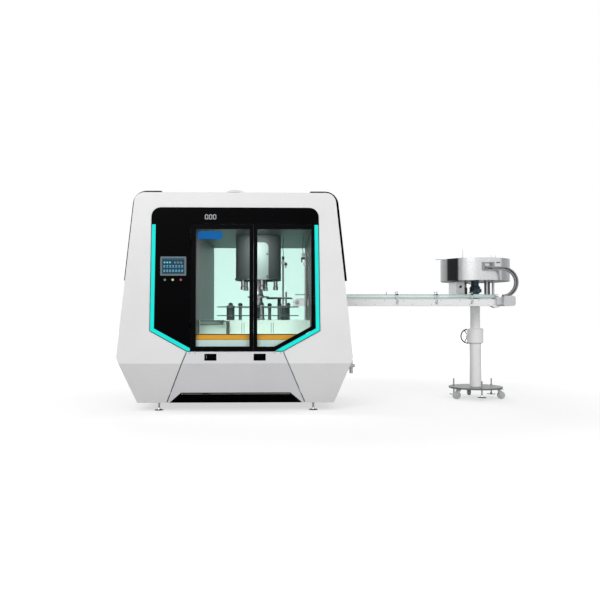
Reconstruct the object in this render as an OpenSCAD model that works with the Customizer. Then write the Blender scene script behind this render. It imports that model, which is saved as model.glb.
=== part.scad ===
// Rotary capping machine with its cap conveyor and bowl feeder.
// Millimetres, Z up, front towards -Y, the conveyor runs out along +X.
// X and Y are zero in the middle of the cabinet, Z on the floor, and stand_here() then moves
// the origin to the middle of the whole footprint.

/* [Cabinet] */
// Height of the roof above the floor
cab_h = 2200; // [2000:10:2400]
// Depth from the front face to the back face
cab_d = 1940; // [1800:10:2200]
// Width at the roof, before its corners are rounded
cab_top_w = 2000; // [1900:10:2100]
// Width at the waist, the widest level
cab_waist_w = 2360; // [2300:10:2500]
// Width at the bottom edge
cab_low_w = 2000; // [1900:10:2100]
// Height of the widest level
waist_z = 545; // [520:5:570]
// Height of the bottom edge above the floor
base_z = 80; // [70:1:95]
// Height where the front starts to slope inwards
bend_z = 490; // [460:5:510]
// How far the bottom edge stands back from the front face
toe_in = 170; // [120:5:200]
// Radius of the roof corners
roof_r = 105; // [60:5:120]
// Radius at the waist
waist_r = 60; // [20:5:80]
// Thickness of the cabinet sheets
sheet_t = 4; // [3:0.5:6]
// Gap around doors and flaps
seam = 3; // [2:0.5:5]

/* [Front] */
// Half of the fascia's bottom edge
fascia_foot = 483; // [450:5:500]
// Half of the fascia's width at its lower corner
fascia_low_half = 850; // [840:1:870]
// Half of the fascia's width at its top
fascia_top_half = 834; // [825:1:850]
// Height of the fascia's bottom edge
fascia_z0 = 610; // [600:1:620]
// Height of the fascia's lower side corner
fascia_knee_z = 812; // [780:1:840]
// Height of the fascia's top edge
fascia_z1 = 2048; // [2020:1:2080]
// Radius of the fascia's top corners
fascia_r = 95; // [50:5:110]
// How far the fascia stands off the front face
fascia_t = 6; // [4:0.5:10]
// Width of the light strips
strip_w = 37; // [25:1:40]
// Space between a light strip and the fascia's edge
strip_in = 7; // [4:1:8]
// Height where the light strips start
strip_z1 = 1870; // [1700:5:1900]
// Thickness of the doors
door_t = 36; // [28:1:45]
// Left edge of the left door
door_x0 = -445; // [-460:1:-430]
// Line where the two doors meet
door_x1 = 182; // [170:1:195]
// Right edge of the right door
door_x2 = 787; // [780:1:789]
// Bottom of the doors
door_z0 = 622; // [620:1:630]
// Top of the doors
door_z1 = 1880; // [1850:1:1890]
// Height of a door frame's foot
door_foot_w = 34; // [28:1:40]
// Height of a door frame's head
door_head_w = 47; // [40:1:52]
// Width of the door frames where the doors meet
door_meet_w = 36; // [30:1:42]
// Width of the left door's frame at its hinge
door_left_w = 51; // [44:1:56]
// Width of the right door's frame at its hinge
door_right_w = 26; // [22:1:30]
// Thickness of the door panes
pane_t = 5; // [4:0.5:8]
// Half width of the lower flap at its bottom edge
flap_low_half = 705; // [690:1:720]
// Half width of the vent at its top edge
vent_top_half = 552; // [540:1:570]
// Half width of the vent at its bottom edge
vent_low_half = 672; // [660:1:680]
// Height of the vent's top edge
vent_z1 = 185; // [170:1:200]
// Distance of each flush pull from the middle
pull_x = 245; // [200:5:300]
// Width of a flush pull
pull_w = 120; // [100:5:140]
// Bottom of the flush pulls
pull_z0 = 518; // [512:1:522]
// Height of a flush pull
pull_h = 68; // [60:1:72]

/* [Control panel] */
// Width of the touch panel
hmi_w = 257; // [220:1:280]
// Height of the touch panel
hmi_h = 191; // [170:1:210]
// Left edge of the touch panel
hmi_x0 = -744; // [-760:1:-735]
// Bottom of the touch panel
hmi_z0 = 1363; // [1355:1:1400]
// Diameter of the push buttons
button_d = 30; // [24:1:34]
// Height of the row of push buttons
button_z = 1322; // [1300:1:1326]
// Travel of a push button
button_travel = 4; // [2:0.5:5]

/* [Cabin] */
// Left wall of the working cabin
cabin_x0 = -394; // [-400:1:-388]
// Right wall of the working cabin
cabin_x1 = 761; // [755:1:770]
// Ceiling of the working cabin
cabin_z1 = 1833; // [1815:1:1840]
// Height of the table top
table_z = 920; // [900:1:930]
// Front edge of the table top
table_y0 = -640; // [-680:5:-635]
// Thickness of the table top
table_t = 20; // [12:1:24]
// Bottom of the orange bar
bar_z0 = 722; // [715:1:735]
// Height of the orange bar
bar_h = 60; // [50:1:66]

/* [Capping unit] */
// Centre of the turret across the machine
turret_x = 208; // [200:1:215]
// Centre of the turret along the depth
turret_y = -245; // [-260:1:-235]
// Radius of the circle that the heads run on
head_circle = 190; // [184:1:192]
// Outer radius of the drum
drum_r = 248; // [242:1:254]
// Bottom of the drum
drum_z0 = 1352; // [1340:1:1370]
// Wall of the drum
drum_t = 8; // [6:0.5:9]
// Diameter of a head's shaft
head_d = 44; // [40:1:48]
// Diameter of a head's chuck
chuck_d = 54; // [50:1:58]
// Bottom of the heads
head_z0 = 1248; // [1240:1:1260]
// Height of the lower star discs
star_low_z = 963; // [955:1:970]
// Height of the upper star discs
star_high_z = 1056; // [1050:1:1062]
// Thickness of a star disc
star_t = 10; // [8:0.5:12]
// Radius of a pocket for a bottle
pocket_r = 41; // [38:0.5:42]
// Angle of the bottle stars in front of the turret
side_star_angle = 31; // [30:0.5:33]
// Angle of the cap star behind the turret
cap_star_angle = 48; // [46:0.5:50]
// Radius of a pocket for a cap
cap_pocket_r = 16; // [12:0.5:18]
// Radial clearance of a running shaft
run_fit = 0.05; // [0.02:0.01:0.08]

/* [Conveyor] */
// Height of the belt's top
belt_z = 1158; // [1154:1:1162]
// Width of the belt
belt_w = 82; // [76:1:84]
// Thickness of the belt
belt_t = 5; // [4:0.5:6]
// Space between the conveyor's side plates
frame_gap = 96; // [92:1:110]
// Height of the conveyor's side plates
frame_h = 76; // [72:1:80]
// Thickness of the conveyor's side plates
plate_t = 5; // [4:0.5:6]
// Radius of the end rollers
roller_r = 31; // [28:0.5:32]
// Inner end of the conveyor
conv_x0 = 596; // [592:1:610]
// Axis of the drive roller
drive_x = 3010; // [2990:1:3020]
// Height of the guide rails
rail_z = 1204; // [1198:1:1212]
// Diameter of the guide rails
rail_d = 8; // [6:0.5:10]

/* [Bowl feeder] */
// Outer radius of the bowl
bowl_r = 400; // [390:1:405]
// Centre of the bowl and of its stand
bowl_x = 2759; // [2750:1:2770]
// Bottom of the bowl
bowl_z0 = 1374; // [1370:1:1380]
// Height of the bowl's wall
bowl_h = 256; // [240:1:270]
// Thickness of the bowl's wall
bowl_t = 4; // [3:0.5:5]
// Radius of the bend of the cap chute
chute_r = 158; // [156:1:162]
// Axis of that bend
chute_x = 2955; // [2945:1:2960]
// Space inside the cap chute
chute_gap = 34; // [32:0.5:36]
// Wall of the cap chute
chute_t = 3; // [2:0.5:4]
// Width of the cap chute
chute_w = 40; // [36:1:42]

/* [Stand] */
// Diameter of the sliding tube
tube_d = 114; // [108:1:116]
// Diameter of the fixed column
column_d = 134; // [130:1:140]
// Bottom of the sliding tube's sleeve
sleeve_z0 = 652; // [640:1:660]
// Top of the sleeve
sleeve_z1 = 825; // [815:1:840]
// Width of the sleeve
sleeve_w = 188; // [180:1:194]
// Radius of the base plate
foot_plate_r = 311; // [305:1:320]
// Bottom of the base plate
foot_plate_z = 118; // [115:1:122]
// Thickness of the base plate
foot_plate_t = 18; // [12:1:20]
// Radius of the circle of the casters
caster_circle = 268; // [262:1:272]
// Diameter of the caster wheels
wheel_d = 90; // [84:1:92]
// Width of the caster wheels
wheel_w = 28; // [24:1:30]
// How far a caster wheel trails behind its swivel
caster_trail = 28; // [24:1:30]
// Diameter of the handwheel
handwheel_d = 180; // [170:1:185]
// Height that the feeder can be raised
lift = 40; // [20:5:50]

/* [Hidden] */
// Smoothness of the round pieces
$fn = 96;
// How far cutting shapes run past what they cut
over = 20;
// Space between pieces that move past each other
gap = 0.4;
// Steps of a rounded corner
corner_steps = 6;

// Stars, belt and feeder follow the turret
heads = 5;
side_pockets = 4;
side_circle = head_circle * side_pockets / heads;
star_reach = head_circle + side_circle;
star_rim_gap = 6;
cap_star_x = turret_x + star_reach * cos(cap_star_angle);
cap_star_y = turret_y + star_reach * sin(cap_star_angle);
belt_y = cap_star_y - side_circle;
bowl_gap = 1;
feeder_y = belt_y + chute_w / 2 + bowl_gap + bowl_r;

// Places and sizes in the cabinet
front_y = -cab_d / 2;
rear_y = cab_d / 2;
fascia_y = front_y - fascia_t;
fascia_lap = 20;
strip_rim = 4;
door_in = strip_in + strip_w + strip_rim;
roof_seam_x = 716;
trim_y = front_y + 114;
trim_w = 100;
trim_out = 34;
trim_z0 = 1323;
trim_slant = 64;
liner_t = 4;
liner_y0 = front_y - fascia_t + door_t + seam;
pane_lap = 20;
liner_y1 = rear_y - sheet_t - pane_t - seam;
port_half_w = 92;
port_rise = 30;

// Corners of the cabinet's front view and side view
outline_corners = [
    [-cab_low_w / 2, base_z], [cab_low_w / 2, base_z], [cab_waist_w / 2, waist_z],
    [cab_top_w / 2, cab_h], [-cab_top_w / 2, cab_h], [-cab_waist_w / 2, waist_z]
];
side_corners = [
    [front_y + toe_in, base_z], [rear_y - toe_in, base_z], [rear_y, bend_z],
    [rear_y, cab_h], [front_y, cab_h], [front_y, bend_z]
];
fascia_corners = [
    [-fascia_foot, fascia_z0], [fascia_foot, fascia_z0], [fascia_low_half, fascia_knee_z],
    [fascia_top_half, fascia_z1], [-fascia_top_half, fascia_z1], [-fascia_low_half, fascia_knee_z]
];

// Helpers: unit vector, crossing of two lines, inset and rounded outlines
function unit(v) = v / norm(v);
function meet(p, d, q, e) = p + d * cross(q - p, e) / cross(d, e);
function inward(a, b, t) = let (d = unit(b - a)) [-d.y, d.x] * t;
function inset(pts, ts) = [
    for (i = [0:len(pts) - 1])
        let (
            n = len(pts), h = (i + n - 1) % n, j = (i + 1) % n,
            s0 = inward(pts[h], pts[i], ts[h]), s1 = inward(pts[i], pts[j], ts[i])
        )
        meet(pts[i] + s0, pts[i] - pts[h], pts[i] + s1, pts[j] - pts[i])
];
function even(pts, t) = inset(pts, [for (p = pts) t]);
function half_angle(p0, p1, p2) = acos(unit(p0 - p1) * unit(p2 - p1)) / 2;
function corner_hub(p0, p1, p2, r) =
    p1 + unit(unit(p0 - p1) + unit(p2 - p1)) * r / sin(half_angle(p0, p1, p2));
function swing(a) = a > 180 ? a - 360 : (a < -180 ? a + 360 : a);
function corner_arc(p0, p1, p2, r) =
    let (
        reach = r / tan(half_angle(p0, p1, p2)), hub = corner_hub(p0, p1, p2, r),
        t0 = p1 + unit(p0 - p1) * reach - hub, t1 = p1 + unit(p2 - p1) * reach - hub,
        a0 = atan2(t0.y, t0.x), turn = swing(atan2(t1.y, t1.x) - a0)
    )
    [for (i = [0:corner_steps]) hub + r * [cos(a0 + turn * i / corner_steps), sin(a0 + turn * i / corner_steps)]];
function rounded(pts, radii) = [
    for (i = [0:len(pts) - 1])
        let (n = len(pts), h = (i + n - 1) % n, j = (i + 1) % n)
        each (radii[i] == 0 ? [pts[i]] : corner_arc(pts[h], pts[i], pts[j], radii[i]))
];
function rectangle(x0, z0, w, h) = [[x0, z0], [x0 + w, z0], [x0 + w, z0 + h], [x0, z0 + h]];
function soft_rectangle(x0, z0, w, h, r) = rounded(rectangle(x0, z0, w, h), [r, r, r, r]);
// The path from foot to foot over the roof, and a band between two such paths
function over_path(o) = [for (i = [1:len(o)]) o[i % len(o)]];
function backwards(v) = [for (i = [len(v) - 1:-1:0]) v[i]];
function band(o, i) = concat(over_path(o), backwards(over_path(i)));

function outline(t) = rounded(
    inset(outline_corners, [0, t, t, t, t, t]), [0, 0, waist_r - t, roof_r - t, roof_r - t, waist_r - t]
);
function side_profile(t) = inset(side_corners, [0, t, t, 0, t, t]);
function fascia_outline(foot, rest) = rounded(
    inset(fascia_corners, [foot, rest, rest, rest, rest, rest]), [0, 0, 0, fascia_r - rest, fascia_r - rest, 0]
);

// Outlines of the doors and of the lower flap
chamfer_at = fascia_corners[1] + inward(fascia_corners[1], fascia_corners[2], door_in);
chamfer_dir = fascia_corners[2] - fascia_corners[1];
left_door_corners = rectangle(door_x0, door_z0, door_x1 - seam / 2 - door_x0, door_z1 - door_z0);
right_door_corners = [
    [door_x1 + seam / 2, door_z0],
    meet(chamfer_at, chamfer_dir, [0, door_z0], [1, 0]),
    meet(chamfer_at, chamfer_dir, [door_x2, 0], [0, 1]),
    [door_x2, door_z1],
    [door_x1 + seam / 2, door_z1]
];
left_frame = [door_foot_w, door_meet_w, door_head_w, door_left_w];
right_frame = [door_foot_w, door_meet_w, door_right_w, door_head_w, door_meet_w];
flap_corners = [
    [-flap_low_half, base_z], [flap_low_half, base_z],
    [fascia_foot, fascia_z0 - seam], [-fascia_foot, fascia_z0 - seam]
];
vent_corners = [
    [-vent_low_half, base_z], [vent_low_half, base_z], [vent_top_half, vent_z1], [-vent_top_half, vent_z1]
];

// Ends of the whole machine
button_out = 11;
waist_hub = corner_hub(outline_corners[1], outline_corners[2], outline_corners[3], waist_r);
whole_x0 = -waist_hub.x - waist_r;
whole_x1 = max(bowl_x + bowl_r, chute_x + chute_r + chute_gap / 2 + chute_t);
whole_y0 = fascia_y - button_out;
whole_y1 = rear_y;

module stand_here() {
    translate([-(whole_x0 + whole_x1) / 2, -(whole_y0 + whole_y1) / 2, 0]) children();
}

// A profile drawn in X and Z, standing between two depths
module upright(y0, y1) {
    translate([0, y1, 0]) rotate([90, 0, 0]) linear_extrude(y1 - y0) children();
}

// A profile drawn in Y and Z, running between two places across the machine
module crosswise(x0, x1) {
    translate([x0, 0, 0]) rotate([90, 0, 90]) linear_extrude(x1 - x0) children();
}

// A block between two corners
module block(a, b) {
    translate(a) cube(b - a);
}

// A round bar along Y
module bar_y(x, z, r, y0, y1) {
    translate([x, y1, z]) rotate([90, 0, 0]) cylinder(r = r, h = y1 - y0);
}

// A round bar along X
module bar_x(y, z, r, x0, x1) {
    translate([x0, y, z]) rotate([0, 90, 0]) cylinder(r = r, h = x1 - x0);
}

// A layer that follows the front face and its lower slope, between two insets
module front_layer(t0, t1) {
    a = side_profile(t0);
    b = side_profile(t1);
    crosswise(-cab_waist_w, cab_waist_w) polygon([a[4], a[5], a[0], b[0], b[5], b[4]]);
}

// Pins on the frame that the lower flap turns on
flap_pin_r = 2.5;
flap_knuckle_r = 5;
flap_knuckle_w = 5;
flap_pin_x = 697;
flap_pin_y = front_y + toe_in + 11;
flap_pin_z = base_z + 6;

// Steel frame inside the cabinet
tube_w = 60;
frame_half_x = 850;
frame_half_y = 740;
frame_z0 = base_z + sheet_t;
table_leg_y = -600;
module base_frame() {
    stand_here() color("gray") {
        for (side = [-1, 1]) {
            block([-frame_half_x, side * frame_half_y - tube_w / 2, frame_z0],
                [frame_half_x, side * frame_half_y + tube_w / 2, frame_z0 + tube_w]);
            block([side * frame_half_x - tube_w / 2, -frame_half_y - tube_w / 2, frame_z0],
                [side * frame_half_x + tube_w / 2, frame_half_y + tube_w / 2, frame_z0 + tube_w]);
            block([-frame_half_x, side * frame_half_y - tube_w / 2, cab_h - sheet_t - tube_w],
                [frame_half_x, side * frame_half_y + tube_w / 2, cab_h - sheet_t]);
            for (end = [-1, 1]) {
                block([side * frame_half_x - tube_w / 2, end * frame_half_y - tube_w / 2, frame_z0],
                    [side * frame_half_x + tube_w / 2, end * frame_half_y + tube_w / 2, cab_h - sheet_t]);
            }
            block([-frame_half_x, side * table_leg_y - tube_w / 2, frame_z0],
                [frame_half_x, side * table_leg_y + tube_w / 2, frame_z0 + tube_w]);
        }
        for (side = [-1, 1]) {
            mirror([(1 - side) / 2, 0, 0]) {
                block([flap_pin_x - flap_knuckle_w, flap_pin_y, frame_z0],
                    [flap_pin_x, -frame_half_y, flap_pin_z + flap_knuckle_r]);
                bar_x(flap_pin_y, flap_pin_z, flap_knuckle_r, flap_pin_x - flap_knuckle_w, flap_pin_x);
                bar_x(flap_pin_y, flap_pin_z, flap_pin_r, flap_pin_x, flap_pin_x + gap + flap_knuckle_w);
            }
        }
        for (x = [cabin_x0 + tube_w, cabin_x1 - tube_w]) {
            for (y = [table_leg_y, -table_leg_y]) {
                block([x - tube_w / 2, y - tube_w / 2, frame_z0],
                    [x + tube_w / 2, y + tube_w / 2, table_z - table_t]);
            }
        }
    }
}

// Levelling feet of the cabinet and levelling screws of the stand
pad_r = 45;
pad_h = 9;
foot_neck_r = 16;
foot_neck_h = 26;
stem_r = 9;
nut_r = 15;
nut_h = 12;
foot_x = 790;
stand_screw_r = 8;
stand_pad_r = 50;
stand_pad_lift = 30;
screw_top = 84;
screw_circle = 262;
screw_angles = [30, 150, 270];
module foot_pad(r, z) {
    translate([0, 0, z]) rotate_extrude() polygon([
        [0, 0], [r, 0], [r, pad_h / 2], [foot_neck_r, pad_h], [stem_r, foot_neck_h], [0, foot_neck_h]
    ]);
}
module levelling_feet() {
    stand_here() color("silver") {
        for (x = [-foot_x, foot_x]) {
            for (y = [-frame_half_y, frame_half_y]) {
                translate([x, y, 0]) {
                    foot_pad(pad_r, 0);
                    cylinder(r = stem_r, h = frame_z0);
                    translate([0, 0, frame_z0 - nut_h - sheet_t]) cylinder(r = nut_r, h = nut_h, $fn = 6);
                }
            }
        }
        for (a = screw_angles) {
            translate([bowl_x + screw_circle * cos(a), feeder_y + screw_circle * sin(a), 0]) {
                foot_pad(stand_pad_r, stand_pad_lift);
                translate([0, 0, stand_pad_lift])
                    cylinder(r = stand_screw_r, h = foot_plate_z + foot_plate_t + screw_top - stand_pad_lift);
                translate([0, 0, foot_plate_z + foot_plate_t]) cylinder(r = nut_r, h = nut_h, $fn = 6);
            }
        }
    }
}

// Front sheet around the fascia, with the openings for the flap and the vent
module front_surround() {
    stand_here() color("whitesmoke") difference() {
        intersection() {
            front_layer(0, sheet_t);
            upright(front_y - over, 0) polygon(outline(0));
        }
        upright(front_y - over, front_y + over) polygon(fascia_outline(strip_in, fascia_lap));
        upright(front_y - over, 0) polygon(inset(flap_corners, [-over, -seam, -seam, -seam]));
    }
}

// Drop down flap with its two hand holes
pull_rim = 5;
module lower_front_flap() {
    knuckle_x = flap_pin_x + gap;
    stand_here() color("gainsboro") difference() {
        union() {
            intersection() {
                front_layer(0, sheet_t);
                upright(front_y - over, 0) polygon(flap_corners);
            }
            for (side = [0, 1]) {
                mirror([side, 0, 0]) {
                    bar_x(flap_pin_y, flap_pin_z, flap_knuckle_r, knuckle_x, knuckle_x + flap_knuckle_w);
                    intersection() {
                        front_layer(0, tube_w);
                        block([knuckle_x, front_y, flap_pin_z - flap_knuckle_r],
                            [knuckle_x + flap_knuckle_w, flap_pin_y, flap_pin_z + flap_knuckle_r]);
                    }
                }
            }
        }
        bar_x(flap_pin_y, flap_pin_z, flap_pin_r + run_fit, -flap_pin_x - over, flap_pin_x + over);
        upright(front_y - over, 0) polygon(inset(vent_corners, [-over, -seam, -seam, -seam]));
        for (side = [-1, 1]) {
            upright(front_y - over, front_y + over)
                polygon(even(rectangle(side * pull_x - pull_w / 2, pull_z0, pull_w, pull_h), pull_rim));
        }
    }
}

// Sunk hand holes of the flap
pull_wall = 3;
pull_depth = 30;
pull_lip = 2;
module flush_pulls() {
    stand_here() color("black") {
        for (side = [-1, 1]) {
            rim = rectangle(side * pull_x - pull_w / 2, pull_z0, pull_w, pull_h);
            difference() {
                union() {
                    upright(front_y - pull_lip, front_y) polygon(rim);
                    upright(front_y - pull_lip, front_y + pull_depth) polygon(even(rim, pull_rim));
                }
                upright(front_y - over, front_y + pull_depth - pull_wall) polygon(even(rim, pull_rim + pull_wall));
            }
        }
    }
}

// Black vent behind the flap's lower cut-out
vent_back = 10;
slats = 6;
slat_t = 5;
vent_rim = 12;
vent_arm_x = 575;
vent_arm_z = 105;
module vent_grille() {
    pitch = (vent_z1 - base_z - 2 * vent_rim + slat_t) / slats;
    stand_here() color("black") for (side = [0, 1]) {
        mirror([side, 0, 0]) intersection() {
            front_layer(vent_back, cab_d);
            block([vent_arm_x, front_y, vent_arm_z],
                [vent_arm_x + tube_w / 2, -frame_half_y - tube_w / 2, vent_arm_z + tube_w / 2]);
        }
    }
    stand_here() color("black") difference() {
        intersection() {
            front_layer(vent_back, vent_back + sheet_t);
            upright(front_y - over, 0) polygon(inset(vent_corners, [0, -vent_rim, -vent_rim, -vent_rim]));
        }
        for (i = [0:slats - 1]) {
            z = base_z + vent_rim + i * pitch;
            upright(front_y - over, 0) polygon([
                [-vent_top_half, z], [vent_top_half, z],
                [vent_top_half, z + pitch - slat_t], [-vent_top_half, z + pitch - slat_t]
            ]);
        }
    }
}

// Bent sheet of the sides and the roof, between the front and rear sheets
module shell_band() {
    intersection() {
        upright(front_y, rear_y) polygon(band(outline(0), outline(sheet_t)));
        crosswise(-cab_waist_w, cab_waist_w) polygon(side_profile(sheet_t));
    }
}

module left_side_panel() {
    stand_here() color("whitesmoke") intersection() {
        shell_band();
        block([-cab_waist_w, front_y, 0], [-roof_seam_x, rear_y, cab_h + over]);
    }
}

// The right panel has the port that the conveyor runs through
port_z0 = belt_z - frame_h - port_rise;
port_z1 = rail_z + port_rise + lift + port_rise;
module right_side_panel() {
    stand_here() color("whitesmoke") difference() {
        intersection() {
            shell_band();
            block([roof_seam_x, front_y, 0], [cab_waist_w, rear_y, cab_h + over]);
        }
        block([cabin_x1, belt_y - port_half_w, port_z0], [cab_waist_w, belt_y + port_half_w, port_z1]);
    }
}

// Roof sheet with its mushroom vent
vent_x = -37;
vent_in = 550;
vent_neck_r = 105;
vent_cap_r = 148;
vent_cap_z = 62;
vent_cap_h = 14;
vent_top_z = 136;
vent_ball_r = 190;
module roof_panel() {
    stand_here() color("whitesmoke") {
        intersection() {
            shell_band();
            block([-roof_seam_x, front_y, cab_h - over], [roof_seam_x, rear_y, cab_h + over]);
        }
        translate([vent_x, front_y + vent_in, cab_h]) {
            cylinder(r = vent_neck_r, h = vent_cap_z);
            translate([0, 0, vent_cap_z]) cylinder(r = vent_cap_r, h = vent_cap_h);
            intersection() {
                translate([0, 0, vent_top_z - vent_ball_r]) sphere(r = vent_ball_r);
                translate([0, 0, vent_cap_z]) cylinder(r = vent_cap_r, h = vent_top_z);
            }
        }
    }
}

module rear_surround() {
    stand_here() color("whitesmoke") difference() {
        intersection() {
            mirror([0, 1, 0]) front_layer(0, sheet_t);
            upright(0, rear_y + over) polygon(outline(0));
        }
        block([cabin_x0, rear_y - over, table_z], [cabin_x1, rear_y + over, cabin_z1]);
    }
}

module rear_window() {
    stand_here() color([0.8, 0.97, 0.93, 0.5])
        block([cabin_x0 - pane_lap, rear_y - sheet_t - pane_t, table_z - pane_lap],
            [cabin_x1 + pane_lap, rear_y - sheet_t, cabin_z1 + pane_lap]);
}

// Black trims that stand proud round the roof corners
module side_trims() {
    stand_here() color("black") intersection() {
        upright(trim_y, trim_y + trim_w) polygon(band(outline(-trim_out), outline(0)));
        union() {
            for (side = [0, 1]) {
                mirror([side, 0, 0]) upright(trim_y, trim_y + trim_w) polygon([
                    [roof_seam_x, cab_h - over], [roof_seam_x + trim_slant, cab_h + trim_slant],
                    [cab_waist_w, cab_h + trim_slant], [cab_waist_w, trim_z0], [cab_top_w / 2, trim_z0]
                ]);
            }
        }
    }
}

// Black fascia round the doors and behind the control panel
button_xs = [-698, -620, -540];
button_wall = 3.5;
button_head_r = button_d / 2 - button_wall;
stem_hole_r = 8;
collar_h = 6;
knuckle_r = 6;
knuckle_h = 30;
knuckle_out = 7;
hinge_pin_r = 3;
hinge_in = 220;
hinge_zs = [door_z0 + hinge_in, door_z1 - hinge_in];
hinge_xs = [door_x0 - seam / 2, door_x2 + seam / 2];
module knuckle(x, z, side) {
    translate([x, fascia_y - knuckle_out, z]) {
        cylinder(r = knuckle_r, h = knuckle_h);
        translate([side > 0 ? seam / 2 : -knuckle_r, 0, 0]) cube([knuckle_r - seam / 2, knuckle_out, knuckle_h]);
    }
}
module door_knuckles(i) {
    for (z = hinge_zs) {
        knuckle(hinge_xs[i], z + knuckle_h + gap, 1 - 2 * i);
    }
}
module pin_holes(i) {
    for (z = hinge_zs) {
        translate([hinge_xs[i], fascia_y - knuckle_out, z + knuckle_h])
            cylinder(r = hinge_pin_r + run_fit, h = knuckle_h + over);
    }
}
module fascia_plate() {
    for (i = [0, 1]) {
        for (z = hinge_zs) {
            knuckle(hinge_xs[i], z, 2 * i - 1);
            translate([hinge_xs[i], fascia_y - knuckle_out, z]) cylinder(r = hinge_pin_r, h = 2 * knuckle_h);
        }
    }
    upright(fascia_y, front_y) difference() {
        polygon(fascia_outline(0, 0));
        polygon(even(left_door_corners, -seam));
        polygon(even(right_door_corners, -seam));
        polygon(even(rectangle(hmi_x0, hmi_z0, hmi_w, hmi_h), hmi_rim));
    }
}
module black_fascia() {
    stand_here() color("black") difference() {
        union() {
            fascia_plate();
            for (x = button_xs) {
                bar_y(x, button_z, button_d / 2, fascia_y - collar_h, fascia_y);
            }
        }
        for (x = button_xs) {
            bar_y(x, button_z, button_head_r + gap, fascia_y - collar_h - over, fascia_y);
            bar_y(x, button_z, stem_hole_r + gap, fascia_y - over, front_y + over);
        }
    }
}

// Glowing strips along the sides and lower slants of the fascia
strip_t = 2;
strip_foot = 5;
module light_strips() {
    a = strip_in;
    b = strip_in + strip_w;
    stand_here() color("cyan") upright(fascia_y - strip_t, fascia_y) intersection() {
        difference() {
            polygon(inset(fascia_corners, [0, a, a, 0, a, a]));
            polygon(inset(fascia_corners, [-over, b, b, -over, b, b]));
            polygon(rectangle(door_x0 - seam, fascia_z0, -door_x0, door_in));
        }
        polygon(rectangle(-fascia_low_half, fascia_z0 + strip_foot, 2 * fascia_low_half, strip_z1 - fascia_z0));
    }
}

// Touch panel with a bezel, a sunk screen and a housing behind
hmi_rim = 14;
hmi_bezel_t = 7;
hmi_screen_in = 18;
hmi_screen_sink = 2;
hmi_body_t = 42;
hmi_r = 8;
module hmi_panel() {
    stand_here() color("slategray") difference() {
        union() {
            upright(fascia_y - hmi_bezel_t, fascia_y) polygon(soft_rectangle(hmi_x0, hmi_z0, hmi_w, hmi_h, hmi_r));
            upright(fascia_y - hmi_bezel_t, fascia_y + hmi_body_t)
                polygon(even(rectangle(hmi_x0, hmi_z0, hmi_w, hmi_h), hmi_rim));
        }
        upright(fascia_y - over, fascia_y - hmi_bezel_t + hmi_screen_sink)
            polygon(even(rectangle(hmi_x0, hmi_z0, hmi_w, hmi_h), hmi_screen_in));
    }
}

// Push buttons, each a head in its collar with a stem through the fascia
head_back = button_travel + gap;
stem_len = 26;
module push_button(x, tint) {
    stand_here() color(tint) {
        bar_y(x, button_z, button_head_r, fascia_y - button_out, fascia_y - head_back);
        bar_y(x, button_z, stem_hole_r, fascia_y - button_out, front_y + stem_len);
    }
}
module green_button() {
    push_button(button_xs[0], "green");
}
module yellow_button() {
    push_button(button_xs[1], "khaki");
}
module red_button() {
    push_button(button_xs[2], "firebrick");
}

// Door frames with a groove for the pane
groove = 10;
pane_sink = 8;
pane_y = fascia_y + pane_sink;
module door_leaf(corners, widths) {
    upright(fascia_y, fascia_y + door_t) difference() {
        polygon(corners);
        polygon(inset(corners, widths));
    }
}
module pane_shape(corners, widths) {
    polygon(inset(corners, [for (w = widths) w - groove]));
}
module door_pane(corners, widths) {
    upright(pane_y, pane_y + pane_t) pane_shape(corners, widths);
}
module left_door() {
    stand_here() color("black") difference() {
        union() {
            door_leaf(left_door_corners, left_frame);
            door_knuckles(0);
        }
        door_pane(left_door_corners, left_frame);
        pin_holes(0);
    }
}
module right_door() {
    stand_here() color("black") difference() {
        union() {
            door_leaf(right_door_corners, right_frame);
            door_knuckles(1);
        }
        door_pane(right_door_corners, right_frame);
        pin_holes(1);
    }
}
module left_door_glass() {
    stand_here() color([0.7, 0.93, 0.9, 0.35]) door_pane(left_door_corners, left_frame);
}
module right_door_glass() {
    stand_here() color([0.7, 0.93, 0.9, 0.35]) door_pane(right_door_corners, right_frame);
}

// Walls and ceiling of the working cabin
liner_z0 = 640;
module cabin_liner() {
    stand_here() color("dimgray") difference() {
        union() {
            block([cabin_x0 - liner_t, liner_y0, cabin_z1], [cabin_x1 + liner_t, liner_y1, cabin_z1 + liner_t]);
            block([cabin_x0 - liner_t, liner_y0, liner_z0], [cabin_x0, liner_y1, cabin_z1 + liner_t]);
            block([cabin_x1, liner_y0, liner_z0], [cabin_x1 + liner_t, liner_y1, cabin_z1 + liner_t]);
        }
        block([cabin_x1 - over, belt_y - port_half_w, port_z0], [cabin_x1 + over, belt_y + port_half_w, port_z1]);
    }
}

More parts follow.
